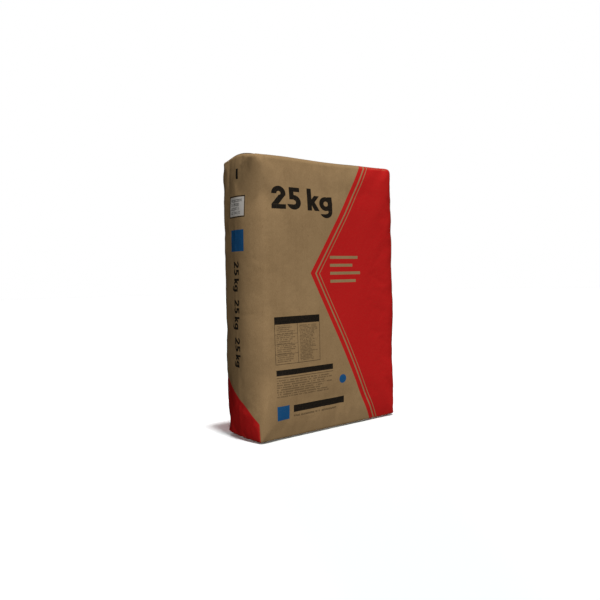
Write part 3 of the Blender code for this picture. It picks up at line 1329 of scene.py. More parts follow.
@dataclass(frozen=True)
class PrintDesign:
    """The generic print that is repeated on both halves of the paper tube.

    One repeat is a narrow side and the broad face to its right. Places are in millimetres: x runs
    from -290 at the narrow side's far fold over -176 at the fold between them to 176, and y runs up.

    Attributes:
        half_face: Half the broad face's width.
        half_height: Half the sack's height.
        past_ends: How far the print runs on over the ends.
        narrow: The narrow side's width.
        red: The field's colour.
        black: The figures' and bars' colour.
        blue: The blocks' colour.
        white: The pale panel's colour.
        chevron_top: Where the arrow-shaped field's edge leaves the top.
        chevron_nose: Its nose.
        chevron_foot: Where its edge leaves the foot.
        wedge_back: Where the side wedge's edge meets the back fold.
        wedge_front: Where it meets the front fold.
        red_lines: Bare lines in the field, as how far inside its edge they run and half their width.
        bare_bars: Bare bars in the field.
        black_bars: Bars, rules and the small mark on the side.
        black_frames: Outlines of boxes, and half the width of their line.
        fine_prints: Rows of mock letters.
        blue_bars: Blue blocks.
        figures: The weight on the face.
        side_figures: The weight that is repeated up the narrow side.
        side_column: The box that it is cut to.
        side_pitch: From one weight to the next there.
        ledger: Level lines of the ruled panel, as one's height, their pitch and half their width.
        ledger_box: The box that they are cut to.
        disc_centre: The blue disc's middle.
        disc_radius: Its radius.
        side_panel: The pale panel on the side.
    """

    half_face: float = 176.0
    half_height: float = 270.0
    past_ends: float = 20.0
    narrow: float = 114.0
    red: Ink = Ink((0.480, 0.0075, 0.0095), 0.985)
    black: Ink = Ink((0.007, 0.006, 0.005), 0.992)
    blue: Ink = Ink((0.004, 0.076, 0.205), 0.985)
    white: Ink = Ink((0.56, 0.54, 0.51), 0.90)
    chevron_top: Point = (98.0, 560.0)
    chevron_nose: Point = (-56.0, 318.0)
    chevron_foot: Point = (112.0, -20.0)
    wedge_back: Point = (-292.0, 126.0)
    wedge_front: Point = (-174.0, 34.0)
    red_lines: tuple[Point, ...] = ((11.0, 1.5), (18.5, 0.8))
    bare_bars: tuple[Box, ...] = (
        (-8.0, 64.0, 346.0, 352.0),
        (-8.0, 50.0, 330.0, 336.0),
        (-8.0, 70.0, 314.0, 320.0),
        (-8.0, 58.0, 298.0, 304.0),
    )
    black_bars: tuple[Box, ...] = (
        (-140.0, -38.0, 222.0, 236.0),
        (-90.0, -89.3, 146.0, 222.0),
        (-140.0, -6.0, 124.0, 135.0),
        (-140.0, -6.0, 119.6, 120.4),
        (-102.0, 26.0, 50.0, 64.0),
        (-231.5, -225.0, 496.0, 514.0),
    )
    black_frames: tuple[tuple[Box, float], ...] = (
        ((-140.0, -38.0, 146.0, 236.0), 0.4),
        ((-251.5, -201.5, 427.0, 465.0), 1.0),
    )
    fine_prints: tuple[FinePrint, ...] = (
        FinePrint((-136.0, -94.0, 149.0, 219.0), 3.8, 1.9, 3.0),
        FinePrint((-85.0, -43.0, 149.0, 219.0), 2.8, 1.5, 7.0),
        FinePrint((-140.0, -6.0, 82.0, 117.0), 4.4, 2.3, 11.0),
        FinePrint((-102.0, 20.0, 39.0, 46.0), 7.0, 3.4, 15.0),
        FinePrint((-247.0, -206.0, 431.0, 461.0), 7.5, 4.6, 21.0),
    )
    blue_bars: tuple[Box, ...] = ((-140.0, -112.0, 38.0, 66.0), (-247.0, -204.0, 362.0, 403.0))
    figures: WeightFigures = WeightFigures(42.0, -140.0, 440.0, extend=1.16)
    side_figures: WeightFigures = WeightFigures(17.0, 66.0, -239.0, extend=1.16, downward=True)
    side_column: Box = (-250.0, -214.0, 131.0, 350.0)
    side_pitch: float = 73.0
    ledger: tuple[float, float, float] = (165.0, 19.0, 0.3)
    ledger_box: Box = (-140.0, -90.0, 150.0, 216.0)
    disc_centre: Point = (20.0, 101.0)
    disc_radius: float = 9.0
    side_panel: Box = (-250.0, -203.0, 428.5, 463.5)

    def red_shape(self, p: Shapes) -> Socket:
        """The arrow-shaped field on the face, less its fine lines, and the wedge on the side.

        Args:
            p: The repeat's plane.

        Returns:
            The signed distance to the shape, in millimetres.
        """
        m, nose = p.sketch.math, self.chevron_nose
        arrow = p.common(p.past_line(nose, self.chevron_top), p.past_line(self.chevron_foot, nose))
        lines = [p.beyond(arrow, -inside, half) for inside, half in self.red_lines]
        blank = p.join(*lines, *(p.bar(*box) for box in self.bare_bars))
        face = p.common(arrow, m("MULTIPLY", blank, -1.0), m("SUBTRACT", -self.half_face, p.x))
        wedge = p.common(p.past_line(self.wedge_back, self.wedge_front), m("ADD", p.x, self.half_face))
        return p.join(face, wedge)

    def black_shape(self, p: Shapes) -> Socket:
        """Figures, bars, frames and the small mark on the side.

        Args:
            p: The repeat's plane.

        Returns:
            The signed distance to the shape, in millimetres.
        """
        first, pitch, half = self.ledger
        base = self.side_column[2]
        turned = p.sketch.math("WRAP", p.sketch.math("SUBTRACT", p.y, base), self.side_pitch, 0.0)
        return p.join(
            self.figures.draw(p),
            p.common(self.side_figures.draw(Shapes(p.sketch, p.x, turned)), p.bar(*self.side_column)),
            p.common(p.beyond(p.repeated(first, pitch), 0.0, half), p.bar(*self.ledger_box)),
            *(p.bar(*box) for box in self.black_bars),
            *(p.frame(*box, half_line) for box, half_line in self.black_frames),
            *(rows.draw(p) for rows in self.fine_prints),
        )

    def blue_shape(self, p: Shapes) -> Socket:
        """Plain blocks beside the black plate, in the face and on the side."""
        disc = p.ring(self.disc_centre, 0.0, self.disc_radius)
        return p.join(disc, *(p.bar(*box) for box in self.blue_bars))

    def white_shape(self, p: Shapes) -> Socket:
        """The pale panel on the side."""
        return p.bar(*self.side_panel)


@dataclass(frozen=True)
class KraftFinish:
    """Kraft paper, plain or printed.

    Attributes:
        name: The material's name.
        colour: The paper's colour, as linear red, green and blue.
        printed: The print on it, if it has one.
        uv_name: The UV map that holds the flat paper's coordinates in metres.
        lightest: The lightest paper's share of the colour.
        darkest: The darkest paper's share of it, in red, green and blue.
        contrast: How strongly the mottling shows between them.
        usual: Where the usual tone lies between them.
        bleed: How far the ink's edges stray into the fibres, in millimetres.
        gloss: How much smoother ink is than paper.
        shine: How strongly the paper mirrors.
    """

    name: str
    colour: tuple[float, float, float]
    printed: PrintDesign | None = None
    uv_name: str = "paper_flat"
    lightest: float = 1.28
    darkest: tuple[float, float, float] = (0.66, 0.62, 0.56)
    contrast: float = 1.6
    usual: float = 0.52
    bleed: float = 0.7
    gloss: float = 0.10
    shine: float = 0.06

    def make(self) -> bpy.types.Material:
        """Builds the material.

        Returns:
            The material.
        """
        material = bpy.data.materials.new(self.name)
        material.use_nodes = True
        sketch = Sketch(material.node_tree)
        place = sketch.node("ShaderNodeTexCoord").outputs["Object"]
        colour, fibres = self._paper(sketch, place)
        roughness = sketch.level(sketch.noise(place, 70.0, 4.0), 0.3, 0.7, 0.68, 0.82)
        if self.printed:
            colour, roughness = self._print(sketch, colour, roughness, fibres)
        surface = {"Base Color": colour, "Roughness": roughness, "Specular IOR Level": self.shine}
        surface["Normal"] = self._relief(sketch, place, fibres)
        sketch.feed(material.node_tree.nodes["Principled BSDF"], surface)
        return material

    def _paper(self, sketch: Sketch, place: Socket) -> tuple[Socket, Socket]:
        """The paper's mottled colour and its fibres.

        Args:
            sketch: The tree to draw in.
            place: Object coordinates.

        Returns:
            The colour, and the fibres as a value round 0.5.
        """
        m = sketch.math
        fibre_run = sketch.stretched(place, (1.0, 1.0, 0.22))
        fibres = sketch.noise(fibre_run, 1500.0, 4.0, 0.65)
        flecks = sketch.noise(fibre_run, 520.0, 2.0, 0.5)
        clouds = sketch.noise(place, 28.0, 5.0, 0.62)
        streaks = sketch.noise(sketch.stretched(place, (1.0, 1.0, 0.06)), 95.0, 3.0, 0.55)
        broad = sketch.noise(place, 7.0, 2.0, 0.5)
        tone = sketch.level(clouds, 0.25, 0.75, -0.045, 0.045)
        for pattern, low, high, start, end in (
            (streaks, 0.25, 0.75, -0.03, 0.03),
            (broad, 0.3, 0.7, -0.035, 0.035),
            (fibres, 0.25, 0.75, -0.13, 0.13),
            (flecks, 0.66, 0.78, 0.0, -0.2),
        ):
            tone = m("ADD", tone, sketch.level(pattern, low, high, start, end))
        light = (*(part * self.lightest for part in self.colour), 1.0)
        dark = (*(part * share for part, share in zip(self.colour, self.darkest)), 1.0)
        share = m("ADD", m("MULTIPLY", tone, self.contrast), self.usual, clamp=True)
        return sketch.blend(share, dark, light), fibres

    def _relief(self, sketch: Sketch, place: Socket, fibres: Socket) -> Socket:
        """Fine creping and fibres as bump.

        Args:
            sketch: The tree to draw in.
            place: Object coordinates.
            fibres: The paper's fibres.

        Returns:
            The bent normal.
        """
        creping = {"Strength": 0.35, "Distance": 0.9 * MM, "Height": sketch.noise(place, 62.0, 5.0, 0.55)}
        creped = sketch.node("ShaderNodeBump", creping).outputs[0]
        fine = {"Strength": 0.25, "Distance": 0.06 * MM, "Height": fibres, "Normal": creped}
        return sketch.node("ShaderNodeBump", fine).outputs[0]

    def _print(
        self, sketch: Sketch, paper: Socket, roughness: Socket, fibres: Socket
    ) -> tuple[Socket, Socket]:
        """Lays the inks over the paper.

        Args:
            sketch: The tree to draw in.
            paper: The bare paper's colour.
            roughness: The bare paper's roughness.
            fibres: The paper's fibres.

        Returns:
            The printed paper's colour and roughness.
        """
        design, m = self.printed, sketch.math
        flat = sketch.stretched(sketch.node("ShaderNodeUVMap", uv_map=self.uv_name).outputs[0], (1 / MM,) * 3)
        shapes = self._plane(sketch, flat)
        from_middle = m("ABSOLUTE", m("SUBTRACT", shapes.y, design.half_height))
        on_walls = shapes.ink(m("SUBTRACT", from_middle, design.half_height + design.past_ends), 1.0)
        patchy = sketch.level(sketch.noise(flat, 0.35, 5.0, 0.7), 0.25, 0.6, 0.93, 1.0)
        pinholes = sketch.level(fibres, 0.74, 0.86, 1.0, 0.55)
        rubbed = self._rubbed_folds(shapes, flat)
        left_ink = sketch.product(patchy, pinholes, m("SUBTRACT", 1.0, rubbed))
        colour, covered = paper, 0.0
        for ink, shape in (
            (design.white, design.white_shape(shapes)),
            (design.red, design.red_shape(shapes)),
            (design.blue, design.blue_shape(shapes)),
            (design.black, design.black_shape(shapes)),
        ):
            amount = sketch.product(shapes.ink(shape), on_walls, ink.cover, left_ink)
            colour = sketch.blend(amount, colour, (*ink.colour, 1.0))
            covered = m("MAXIMUM", covered, amount)
        return colour, m("SUBTRACT", roughness, m("MULTIPLY", covered, self.gloss))

    def _plane(self, sketch: Sketch, flat: Socket) -> Shapes:
        """The repeat's plane, whose places stray a little, as ink bleeds into the fibres.

        Args:
            sketch: The tree to draw in.
            flat: The flat paper's coordinates, in millimetres.

        Returns:
            The plane.
        """
        design, m = self.printed, sketch.math
        noise = sketch.node("ShaderNodeTexNoise", {"Vector": flat, "Scale": 0.9, "Detail": 2.0})
        straight, strayed = (
            sketch.node("ShaderNodeSeparateXYZ", {0: place}) for place in (flat, noise.outputs["Color"])
        )
        u, v = (
            m("MULTIPLY_ADD", m("SUBTRACT", strayed.outputs[axis], 0.5), self.bleed, straight.outputs[axis])
            for axis in range(2)
        )
        return Shapes(sketch, m("WRAP", u, design.half_face, -design.half_face - design.narrow), v)

    def _rubbed_folds(self, shapes: Shapes, flat: Socket) -> Socket:
        """How much ink handling has rubbed off in spots along the folds.

        Args:
            shapes: The repeat's plane, in millimetres.
            flat: The flat paper's coordinates, in millimetres.

        Returns:
            The share of the ink that is gone.
        """
        design, sketch = self.printed, shapes.sketch
        nearest: Value = design.narrow
        for place, middle, half in (
            (shapes.x, 0.0, design.half_face),
            (shapes.x, -design.half_face - design.narrow / 2, design.narrow / 2),
            (shapes.y, design.half_height, design.half_height),
        ):
            away = sketch.math("ABSOLUTE", shapes.beyond(place, middle, half))
            nearest = sketch.math("MINIMUM", nearest, away)
        close = sketch.level(nearest, 0.5, 5.0, 1.0, 0.0)
        spots = sketch.level(sketch.noise(flat, 0.16, 6.0, 0.75), 0.42, 0.66, 0.03, 0.42)
        return sketch.product(close, spots)


def dress(piece: bpy.types.Object, material: bpy.types.Material, slot: Slot, *nodes: str) -> None:
    """Gives a finished piece its material and body, and hides the solids that it stands for.

    Args:
        piece: The piece.
        material: Its material.
        slot: The record's slot for it; not used.
        nodes: The solids that it stands for, if any.
    """
    piece.data.materials.clear()
    piece.data.materials.append(material)
    piece.data.shade_smooth()
    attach(piece, BODY)
    if nodes:
        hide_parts(*nodes)
    LOG.info("%s: %d faces", piece.name, len(piece.data.polygons))


@dataclass(frozen=True)
class FlatFold:
    """The fold of the empty flat tube, which runs up the middle of a narrow side, in metres.

    Attributes:
        middle: The side's middle, as u.
        seed: Picks how the fold strays.
        height: How far it stands out.
        reach: How far its flanks reach.
        sharpness: How sharp its ridge is.
        stray: How far it strays from the middle.
        stray_length: Length up the sack of one stray.
    """

    middle: float
    seed: int
    height: float = 0.55 * MM
    reach: float = 2.6 * MM
    sharpness: float = 1.2
    stray: float = 1.6 * MM
    stray_length: float = 0.12

    def at(self, sheet: Sheet) -> np.ndarray:
        """The fold's relief over the sheet, in metres."""
        drift = Undulation(self.seed, sheet.turn, self.stray_length, self.stray).at(sheet)[:, :1]
        return self.height * np.exp(-np.abs(sheet.past(self.middle + drift) / self.reach) ** self.sharpness)


@dataclass
class FilledSack:
    """The printed paper tube with its folded ends, filled, in metres.

    Attributes:
        form: The form that the powder gives it.
        paper: How the paper gives under the powder.
        finish: Its paper and print.
        steps: Sizes of a face on the walls, at the upright edges and on the end folds.
        coarse_steps: The same sizes in the simulation.
        ply: Thickness of the seam's overlap.
        lap: How far from the seam the overlap begins to rise and is whole.
        end_zone: How far past a fold a pasted end begins and is wholly pasted.
        flap_zone: How far past a fold its flaps begin to show and show wholly.
        foot_lift: How far the foot's face is drawn in, in hollows of its folds.
        seam_margin: How far from the folds the bead on the seam ends.
        top_zone: How far over the end the top fold's rise has faded out and is whole.
        top_reach: How far down the walls it fades out.
        swells: Soft waves of the paper.
    """

    form: SackForm = field(default_factory=SackForm)
    paper: PressedPaper = field(default_factory=PressedPaper)
    finish: KraftFinish = KraftFinish("printed_kraft_paper", (0.300, 0.197, 0.098), PrintDesign())
    steps: tuple[float, float, float] = (0.0028, 0.0021, 0.0016)
    coarse_steps: tuple[float, float, float] = (0.0065, 0.0045, 0.003)
    ply: float = 0.45 * MM
    lap: Point = (0.030, 0.012)
    end_zone: Point = (0.002, 0.009)
    flap_zone: Point = (0.003, 0.012)
    foot_lift: float = 1.5
    seam_margin: float = 0.004
    top_zone: Point = (0.05, 0.005)
    top_reach: float = 0.14
    swells: tuple[Undulation, ...] = (
        Undulation(3, 0.150, 0.130, 0.9 * MM),
        Undulation(5, 0.060, 0.075, 0.35 * MM),
        Undulation(8, 0.026, 0.030, 0.13 * MM),
    )

    def build(self) -> bpy.types.Object:
        """Makes the sack and dresses it.

        Returns:
            The finished piece.
        """
        sheet = self.form.sheet(*self.steps)
        grid = PaperMesh(sheet, self.form.points(sheet))
        grid.points[:, :, 2] += TopLine().at(sheet) * self._top_share(sheet)
        walls = 1 - self._end_share(sheet)
        grid.points[:, :, 0] += SideShift().at(grid.points[:, :, 0], sheet) * walls
        grid.points += self._settled(sheet)
        grid.points += grid.normals() * self._relief(sheet)[:, :, None]
        self._fold_ends(grid)
        self.seam_line = self._line_at(grid, self.form.seam)
        piece = grid.build("filled_sack_paper", "paper_flat")
        dress(piece, self.finish.make(), Slot.PRINTED, "filled_sack")
        return piece

    def _fold_ends(self, grid: PaperMesh) -> None:
        """Presses the flaps' edges into both pasted ends.

        Args:
            grid: The sack's mesh, which is changed.
        """
        s, v = self.form.sizes, grid.sheet.v
        folds = EndFolds(s.end_half_width, s.end_half_depth)
        relief = folds.at(grid.points[:, :, 0], grid.points[:, :, 1])
        for past, lift in ((v - s.height, 0.0), (-v, folds.hollow * self.foot_lift)):
            share = smoothstep(*self.flap_zone, past)[:, None]
            grid.points[:, :, 2] += share * (relief + lift)
        grid.points[:, :, 2] = np.maximum(grid.points[:, :, 2], s.foot_level)

    def _line_at(self, grid: PaperMesh, place: float) -> np.ndarray:
        """The points up the wall, from its foot, at the column nearest to a place round the sack."""
        v, high = grid.sheet.v, self.form.sizes.height - self.seam_margin
        return grid.points[(v > self.seam_margin) & (v < high), np.abs(grid.sheet.past(place)).argmin()]

    def _settled(self, sheet: Sheet) -> np.ndarray:
        """How the simulated powder moves the fine sheet's places.

        Args:
            sheet: The fine sheet.

        Returns:
            The moves, as (rows, columns, 3).
        """
        coarse = self.form.sheet(*self.coarse_steps)
        held = coarse.blank() + self._end_share(coarse)
        moves = self.paper.settle(PaperMesh(coarse, self.form.points(coarse)), held)
        tall = cubic_resample(moves, coarse.v, sheet.v)
        moved = cubic_resample(np.swapaxes(tall, 0, 1), coarse.u, sheet.u, sheet.turn)
        return np.swapaxes(moved, 0, 1) * (1 - self._end_share(sheet))[:, :, None]

    def _end_share(self, sheet: Sheet) -> np.ndarray:
        """0 in the rows on the walls and 1 in those on the pasted ends."""
        past = np.maximum(-sheet.v, sheet.v - self.form.sizes.height)
        return smoothstep(*self.end_zone, past)[:, None]

    def _top_share(self, sheet: Sheet) -> np.ndarray:
        """1 in the row at the top fold, fading out down the walls and over the end."""
        past = (sheet.v - self.form.sizes.height)[:, None]
        return smoothstep(-self.top_reach, 0.0, past) * smoothstep(*self.top_zone, past)

    def _relief(self, sheet: Sheet) -> np.ndarray:
        """Dents, swells and fold marks, as a move along the outward direction.

        Args:
            sheet: Places on the flat paper.

        Returns:
            The move of each place, in metres.
        """
        s = self.form.sizes
        side_middle = (s.width + s.depth) / 2
        parts = (
            *self.swells,
            CreaseField(s),
            FlatFold(-side_middle, 21),
            FlatFold(side_middle, 22),
            LOWER_SIDE_WAVE,
            BACK_LEFT_WAVE,
        )
        overlap = self.ply * smoothstep(*self.lap, np.mod(self.form.seam - sheet.u, sheet.turn))
        return sum((part.at(sheet) for part in parts), overlap) * (1 - self._end_share(sheet))


@dataclass
class SackSkin:
    """The finished sack's surface, for the pieces that are laid on it.

    Attributes:
        sack: The sack.
        clearance: How far over the sack its surface is looked for, in metres.
    """

    sack: bpy.types.Object
    clearance: float = 0.05

    def __post_init__(self) -> None:
        """Reads the sack's faces."""
        mesh = self.sack.data
        places = [vertex.co.copy() for vertex in mesh.vertices]
        self.tree = BVHTree.FromPolygons(places, [tuple(face.vertices) for face in mesh.polygons])

    def top_level(self, x: np.ndarray, y: np.ndarray) -> np.ndarray:
        """Height of the top end at each place.

        Args:
            x: Places across, in metres.
            y: Places in depth, in metres.

        Returns:
            The heights, in metres.
        """
        down = Vector((0.0, 0.0, -1.0))
        above = CAD_BOX[1].z + self.clearance
        levels = [
            self.tree.ray_cast(Vector((a, b, above)), down)[0].z
            for a, b in zip(x.reshape(-1).tolist(), y.reshape(-1).tolist())
        ]
        return np.array(levels).reshape(x.shape)


def closed_sheet(name: str, lower: np.ndarray, upper: np.ndarray) -> bpy.types.Object:
    """Makes a thin closed piece from the two faces of a sheet.

    Args:
        name: The piece's name.
        lower: The under face's points, as (rows, columns, 3).
        upper: The upper face's points, in the same order.

    Returns:
        The new object.
    """
    number = np.arange(lower.shape[0] * lower.shape[1]).reshape(lower.shape[:2])
    quads = np.stack([number[:-1, :-1], number[:-1, 1:], number[1:, 1:], number[1:, :-1]], axis=-1)
    top = (quads.reshape(-1, 4) + number.size).tolist()
    bottom = quads.reshape(-1, 4)[:, ::-1].tolist()
    rim = np.concatenate([number[0], number[1:, -1], number[-1, -2::-1], number[-2:0:-1, 0]])
    after = np.roll(rim, -1)
    sides = np.stack([rim, after, after + number.size, rim + number.size], axis=-1).tolist()
    points = np.concatenate([lower.reshape(-1, 3), upper.reshape(-1, 3)])
    return placed(name, mesh_from(name, points, top + bottom + sides))


@dataclass
class CoverPatch:
    """A rectangular kraft cover pasted on an end.

    Attributes:
        name: The piece's name.
        node: The solid that it stands for, which gives its outline.
        finish: Its paper.
        skin: The sack that it is laid on, or None where it lies flat under the foot.
        thickness: Thickness of its paper, in metres.
        corner: How much of each corner is clipped.
        ragged: How far its cut edges wander.
        waves: Waves of its cut edges, as radians per metre: two on the long ones and one on the short.
        lift: How far it lies over the sack.
        step: Size of a face.
    """

    name: str
    node: str
    finish: KraftFinish
    skin: SackSkin | None = None
    thickness: float = 0.4 * MM
    corner: float = 4 * MM
    ragged: float = 0.5 * MM
    waves: tuple[float, float, float] = (71, 29, 93)
    lift: float = 0.2 * MM
    step: float = 2.5 * MM

    def build(self) -> None:
        """Makes the patch and dresses it."""
        low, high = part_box(self.node)
        columns, rows = (
            np.linspace(low[axis], high[axis], round((high[axis] - low[axis]) / self.step) + 1)
            for axis in range(2)
        )
        x, y = np.meshgrid(columns, rows)
        middle, half = (low + high) / 2, (high - low) / 2
        near_end = np.maximum(np.abs(x - middle.x) - half.x + self.corner, 0.0)
        past_clip = np.maximum(near_end + np.abs(y - middle.y) - half.y, 0.0) * (near_end > 0)
        share_y, share_x = (y - middle.y) / half.y, (x - middle.x) / half.x
        first, second, third = self.waves
        wander = (1 + np.sin(first * x) * np.cos(second * x + 1)) / 2
        y = y - np.sign(y) * past_clip - self.ragged * share_y * wander
        x = x - self.ragged * share_x * (1 + np.sin(third * y + 2)) / 2
        under = self.skin.top_level(x, y) + self.lift if self.skin else np.zeros_like(x)
        lower = np.stack([x, y, under], axis=-1)
        upper = np.stack([x, y, under + self.thickness], axis=-1)
        piece = closed_sheet(self.name, lower, upper)
        dress(piece, self.finish.make(), Slot.PATCH, self.node)


@dataclass
class ValveSleeve:
    """The flattened paper tube that the sack was filled through, with its mouth at the narrow fold.

    Attributes:
        skin: The sack that it lies on.
        finish: Its paper.
        node: The solid that it stands for, which gives its outline.
        wall: Thickness of its paper, in metres.
        pressed: Height of the flattened tube at its inner end.
        gape: How far the mouth stands open in its middle.
        curl: How far the mouth's under edge curls back in its middle.
        lift: How far the tube lies over the sack.
        least: The least height of its hollow.
        side_power: How full its section is at the sides.
        flatness: How flat its section is: 0 is a flat band.
        lining_from: How far along the tube its inner face begins, as a share of its length.
        rings: Sections from the inner end to the mouth.
        round_points: Points round a section.
    """

    skin: SackSkin
    finish: KraftFinish = KraftFinish("valve_sleeve_paper", (0.34, 0.235, 0.125))
    node: str = "valve_sleeve"
    wall: float = 0.25 * MM
    pressed: float = 0.8 * MM
    gape: float = 0.9 * MM
    curl: float = 1.2 * MM
    lift: float = 0.15 * MM
    least: float = 0.1 * MM
    side_power: float = 0.8
    flatness: float = 0.35
    lining_from: float = 0.08
    rings: int = 14
    round_points: int = 72

    def build(self) -> None:
        """Makes the sleeve and dresses it."""
        outer = [self._section(share, 0.0) for share in np.linspace(0.0, 1.0, self.rings)]
        lining = np.linspace(1.0, self.lining_from, self.rings)
        inner = [self._section(share, self.wall) for share in lining]
        loops = np.array(outer + inner)
        count = self.round_points
        number = np.arange(loops.shape[0] * count).reshape(-1, count)
        after = np.roll(number, -1, axis=1)
        sides = np.stack([number[:-1], after[:-1], after[1:], number[1:]], axis=-1).reshape(-1, 4)
        faces = sides.tolist() + self._end_cap(number[0][::-1]) + self._end_cap(number[-1])
        name = "valve_sleeve_paper"
        piece = placed(name, mesh_from(name, loops.reshape(-1, 3), faces))
        dress(piece, self.finish.make(), Slot.VALVE, self.node)

    def _section(self, share: float, inset: float) -> np.ndarray:
        """One closed section of the tube, drawn in by inset, from its inner end at 0 to its mouth at 1.

        Args:
            share: Place along the tube, from 0 at its inner end to 1 at its mouth.
            inset: How far the section is drawn in.

        Returns:
            Its points.
        """
        low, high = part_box(self.node)
        angle = np.linspace(0.0, 2 * math.pi, self.round_points, endpoint=False)
        across, rise = -np.cos(angle), np.sin(angle)
        half = (high.y - low.y) / 2 - inset
        y = (low.y + high.y) / 2 + half * np.sign(across) * np.abs(across) ** self.side_power
        curl = self.curl * share**2 * (1 - across**2)
        x = np.full_like(y, high.x + (low.x - high.x) * share) - curl * (rise < 0)
        full = self.pressed + self.gape * share**2 * (1 - across**2)
        thick = np.maximum(full - 2 * inset, self.least)
        level = self.skin.top_level(x, y) + self.lift + inset
        profile = (1 + np.sign(rise) * np.abs(rise) ** self.flatness) / 2
        return np.stack([x, y, level + thick * profile], axis=-1)

    def _end_cap(self, loop: np.ndarray) -> list[list[int]]:
        """Closes a flat section with strips between its under side and its upper side.

        Args:
            loop: The section's vertex numbers.

        Returns:
            The faces.
        """
        half = len(loop) // 2
        lower, upper = loop[: half + 1], np.concatenate([loop[half:], loop[:1]])[::-1]
        strips = []
        for near in range(half):
            corners = [lower[near], lower[near + 1], upper[near + 1], upper[near]]
            kept = [int(c) for i, c in enumerate(corners) if c != corners[i - 1]]
            strips.append(kept)
        return strips


@dataclass
class SeamBead:
    """The ply's cut edge and glue bead along the long seam of the back, made with Geometry Nodes.

    Attributes:
        path: Points up the seam.
        radius: Radius of the bead, in metres.
        sides: Faces round it.
        finish: Its paper.
    """

    path: np.ndarray
    radius: float = 0.32 * MM
    sides: int = 8
    finish: KraftFinish = KraftFinish("seam_edge_paper", (0.40, 0.285, 0.160))

    def build(self) -> None:
        """Makes the bead and dresses it."""
        curve = bpy.data.curves.new("seam_path", "CURVE")
        curve.dimensions = "3D"
        line = curve.splines.new("POLY")
        line.points.add(len(self.path) - 1)
        line.points.foreach_set("co", np.insert(self.path, 3, 1.0, axis=1).reshape(-1))
        guide = placed("seam_path", curve)
        material = self.finish.make()
        tree = self._tree(material)
        modifier = guide.modifiers.new("bead", "NODES")
        modifier.node_group = tree
        inputs = (item for item in tree.interface.items_tree if item.in_out == "INPUT")
        sockets = {item.name: item.identifier for item in inputs}
        modifier[sockets["Radius"]] = self.radius
        modifier[sockets["Sides"]] = self.sides
        evaluated = guide.evaluated_get(bpy.context.evaluated_depsgraph_get())
        mesh = bpy.data.meshes.new_from_object(evaluated)
        bpy.data.objects.remove(guide, do_unlink=True)
        mesh.name = "seam_edge"
        dress(placed("seam_edge", mesh), material, Slot.PRINTED)

    def _tree(self, material: bpy.types.Material) -> bpy.types.NodeTree:
        """The tree that runs a round profile along the seam's path.

        Args:
            material: The material that it sets.

        Returns:
            The tree.
        """
        tree = bpy.data.node_groups.new("seam_bead", "GeometryNodeTree")
        for name, way, kind in (
            ("Geometry", "INPUT", "Geometry"),
            ("Radius", "INPUT", "Float"),
            ("Sides", "INPUT", "Int"),
            ("Geometry", "OUTPUT", "Geometry"),
        ):
            tree.interface.new_socket(name, in_out=way, socket_type=f"NodeSocket{kind}")
        sketch = Sketch(tree)
        given = sketch.node("NodeGroupInput").outputs
        circle = {"Resolution": given["Sides"], "Radius": given["Radius"]}
        profile = sketch.node("GeometryNodeCurvePrimitiveCircle", circle, mode="RADIUS").outputs["Curve"]
        path = {"Curve": given["Geometry"], "Profile Curve": profile, "Fill Caps": True}
        swept = sketch.node("GeometryNodeCurveToMesh", path).outputs["Mesh"]
        real = sketch.node("GeometryNodeRealizeInstances", {"Geometry": swept}).outputs["Geometry"]
        dressed = sketch.node("GeometryNodeSetMaterial", {"Geometry": real, "Material": material})
        sketch.node("NodeGroupOutput", {"Geometry": dressed.outputs["Geometry"]})
        return tree


@dataclass(frozen=True)
class PhotoCamera:
    """The camera of the photo, as fitted to the sack's corners.

    Attributes:
        place: Its place, in metres.
        yaw: Turn about the upright, in degrees.
        pitch: Tilt up, in degrees.
        roll: Tilt about its own line of sight, in degrees.
        lens: Focal length for a sensor 36 mm wide, in millimetres.
    """

    place: tuple[float, float, float] = (-0.77624, -0.97897, 0.31495)
    yaw: float = -37.157
    pitch: float = -2.418
    roll: float = 1.203
    lens: float = 35.572

    def set_up(self) -> None:
        """Makes it the scene's camera."""
        data = bpy.data.cameras.new("photo_camera")
        data.lens = self.lens
        data.sensor_width = 36.0
        data.clip_start = 0.01
        camera = placed("photo_camera", data)
        turn = (
            Matrix.Rotation(math.radians(self.yaw), 3, "Z")
            @ Matrix.Rotation(math.radians(self.pitch), 3, "X")
            @ Matrix.Rotation(math.radians(self.roll), 3, "Y")
        )
        right, ahead, up = (turn @ Vector(axis) for axis in ((1, 0, 0), (0, 1, 0), (0, 0, 1)))
        pose = Matrix((right, up, -ahead)).transposed().to_4x4()
        camera.matrix_world = Matrix.Translation(self.place) @ pose
        bpy.context.scene.camera = camera


@dataclass(frozen=True)
class SoftLight:
    """A large soft light far off.

    Attributes:
        name: Its name.
        azimuth: Its bearing from the front's outward direction, to the sack's right, in degrees.
        elevation: Its height above the floor, in degrees.
        softness: How wide it looks, in degrees.
        strength: Its light, in watts per square metre.
    """

    name: str
    azimuth: float
    elevation: float
    softness: float
    strength: float

    def set_up(self) -> None:
        """Makes the light."""
        data = bpy.data.lights.new(self.name, "SUN")
        data.energy = self.strength
        data.angle = math.radians(self.softness)
        turn, rise = math.radians(self.azimuth), math.radians(self.elevation)
        level = Vector((math.sin(turn), -math.cos(turn), 0.0)) * math.cos(rise)
        towards = level + Vector((0.0, 0.0, math.sin(rise)))
        facing = towards.to_track_quat("Z", "Y").to_matrix().to_4x4()
        placed(self.name, data).matrix_world = Matrix.Translation(2 * towards) @ facing


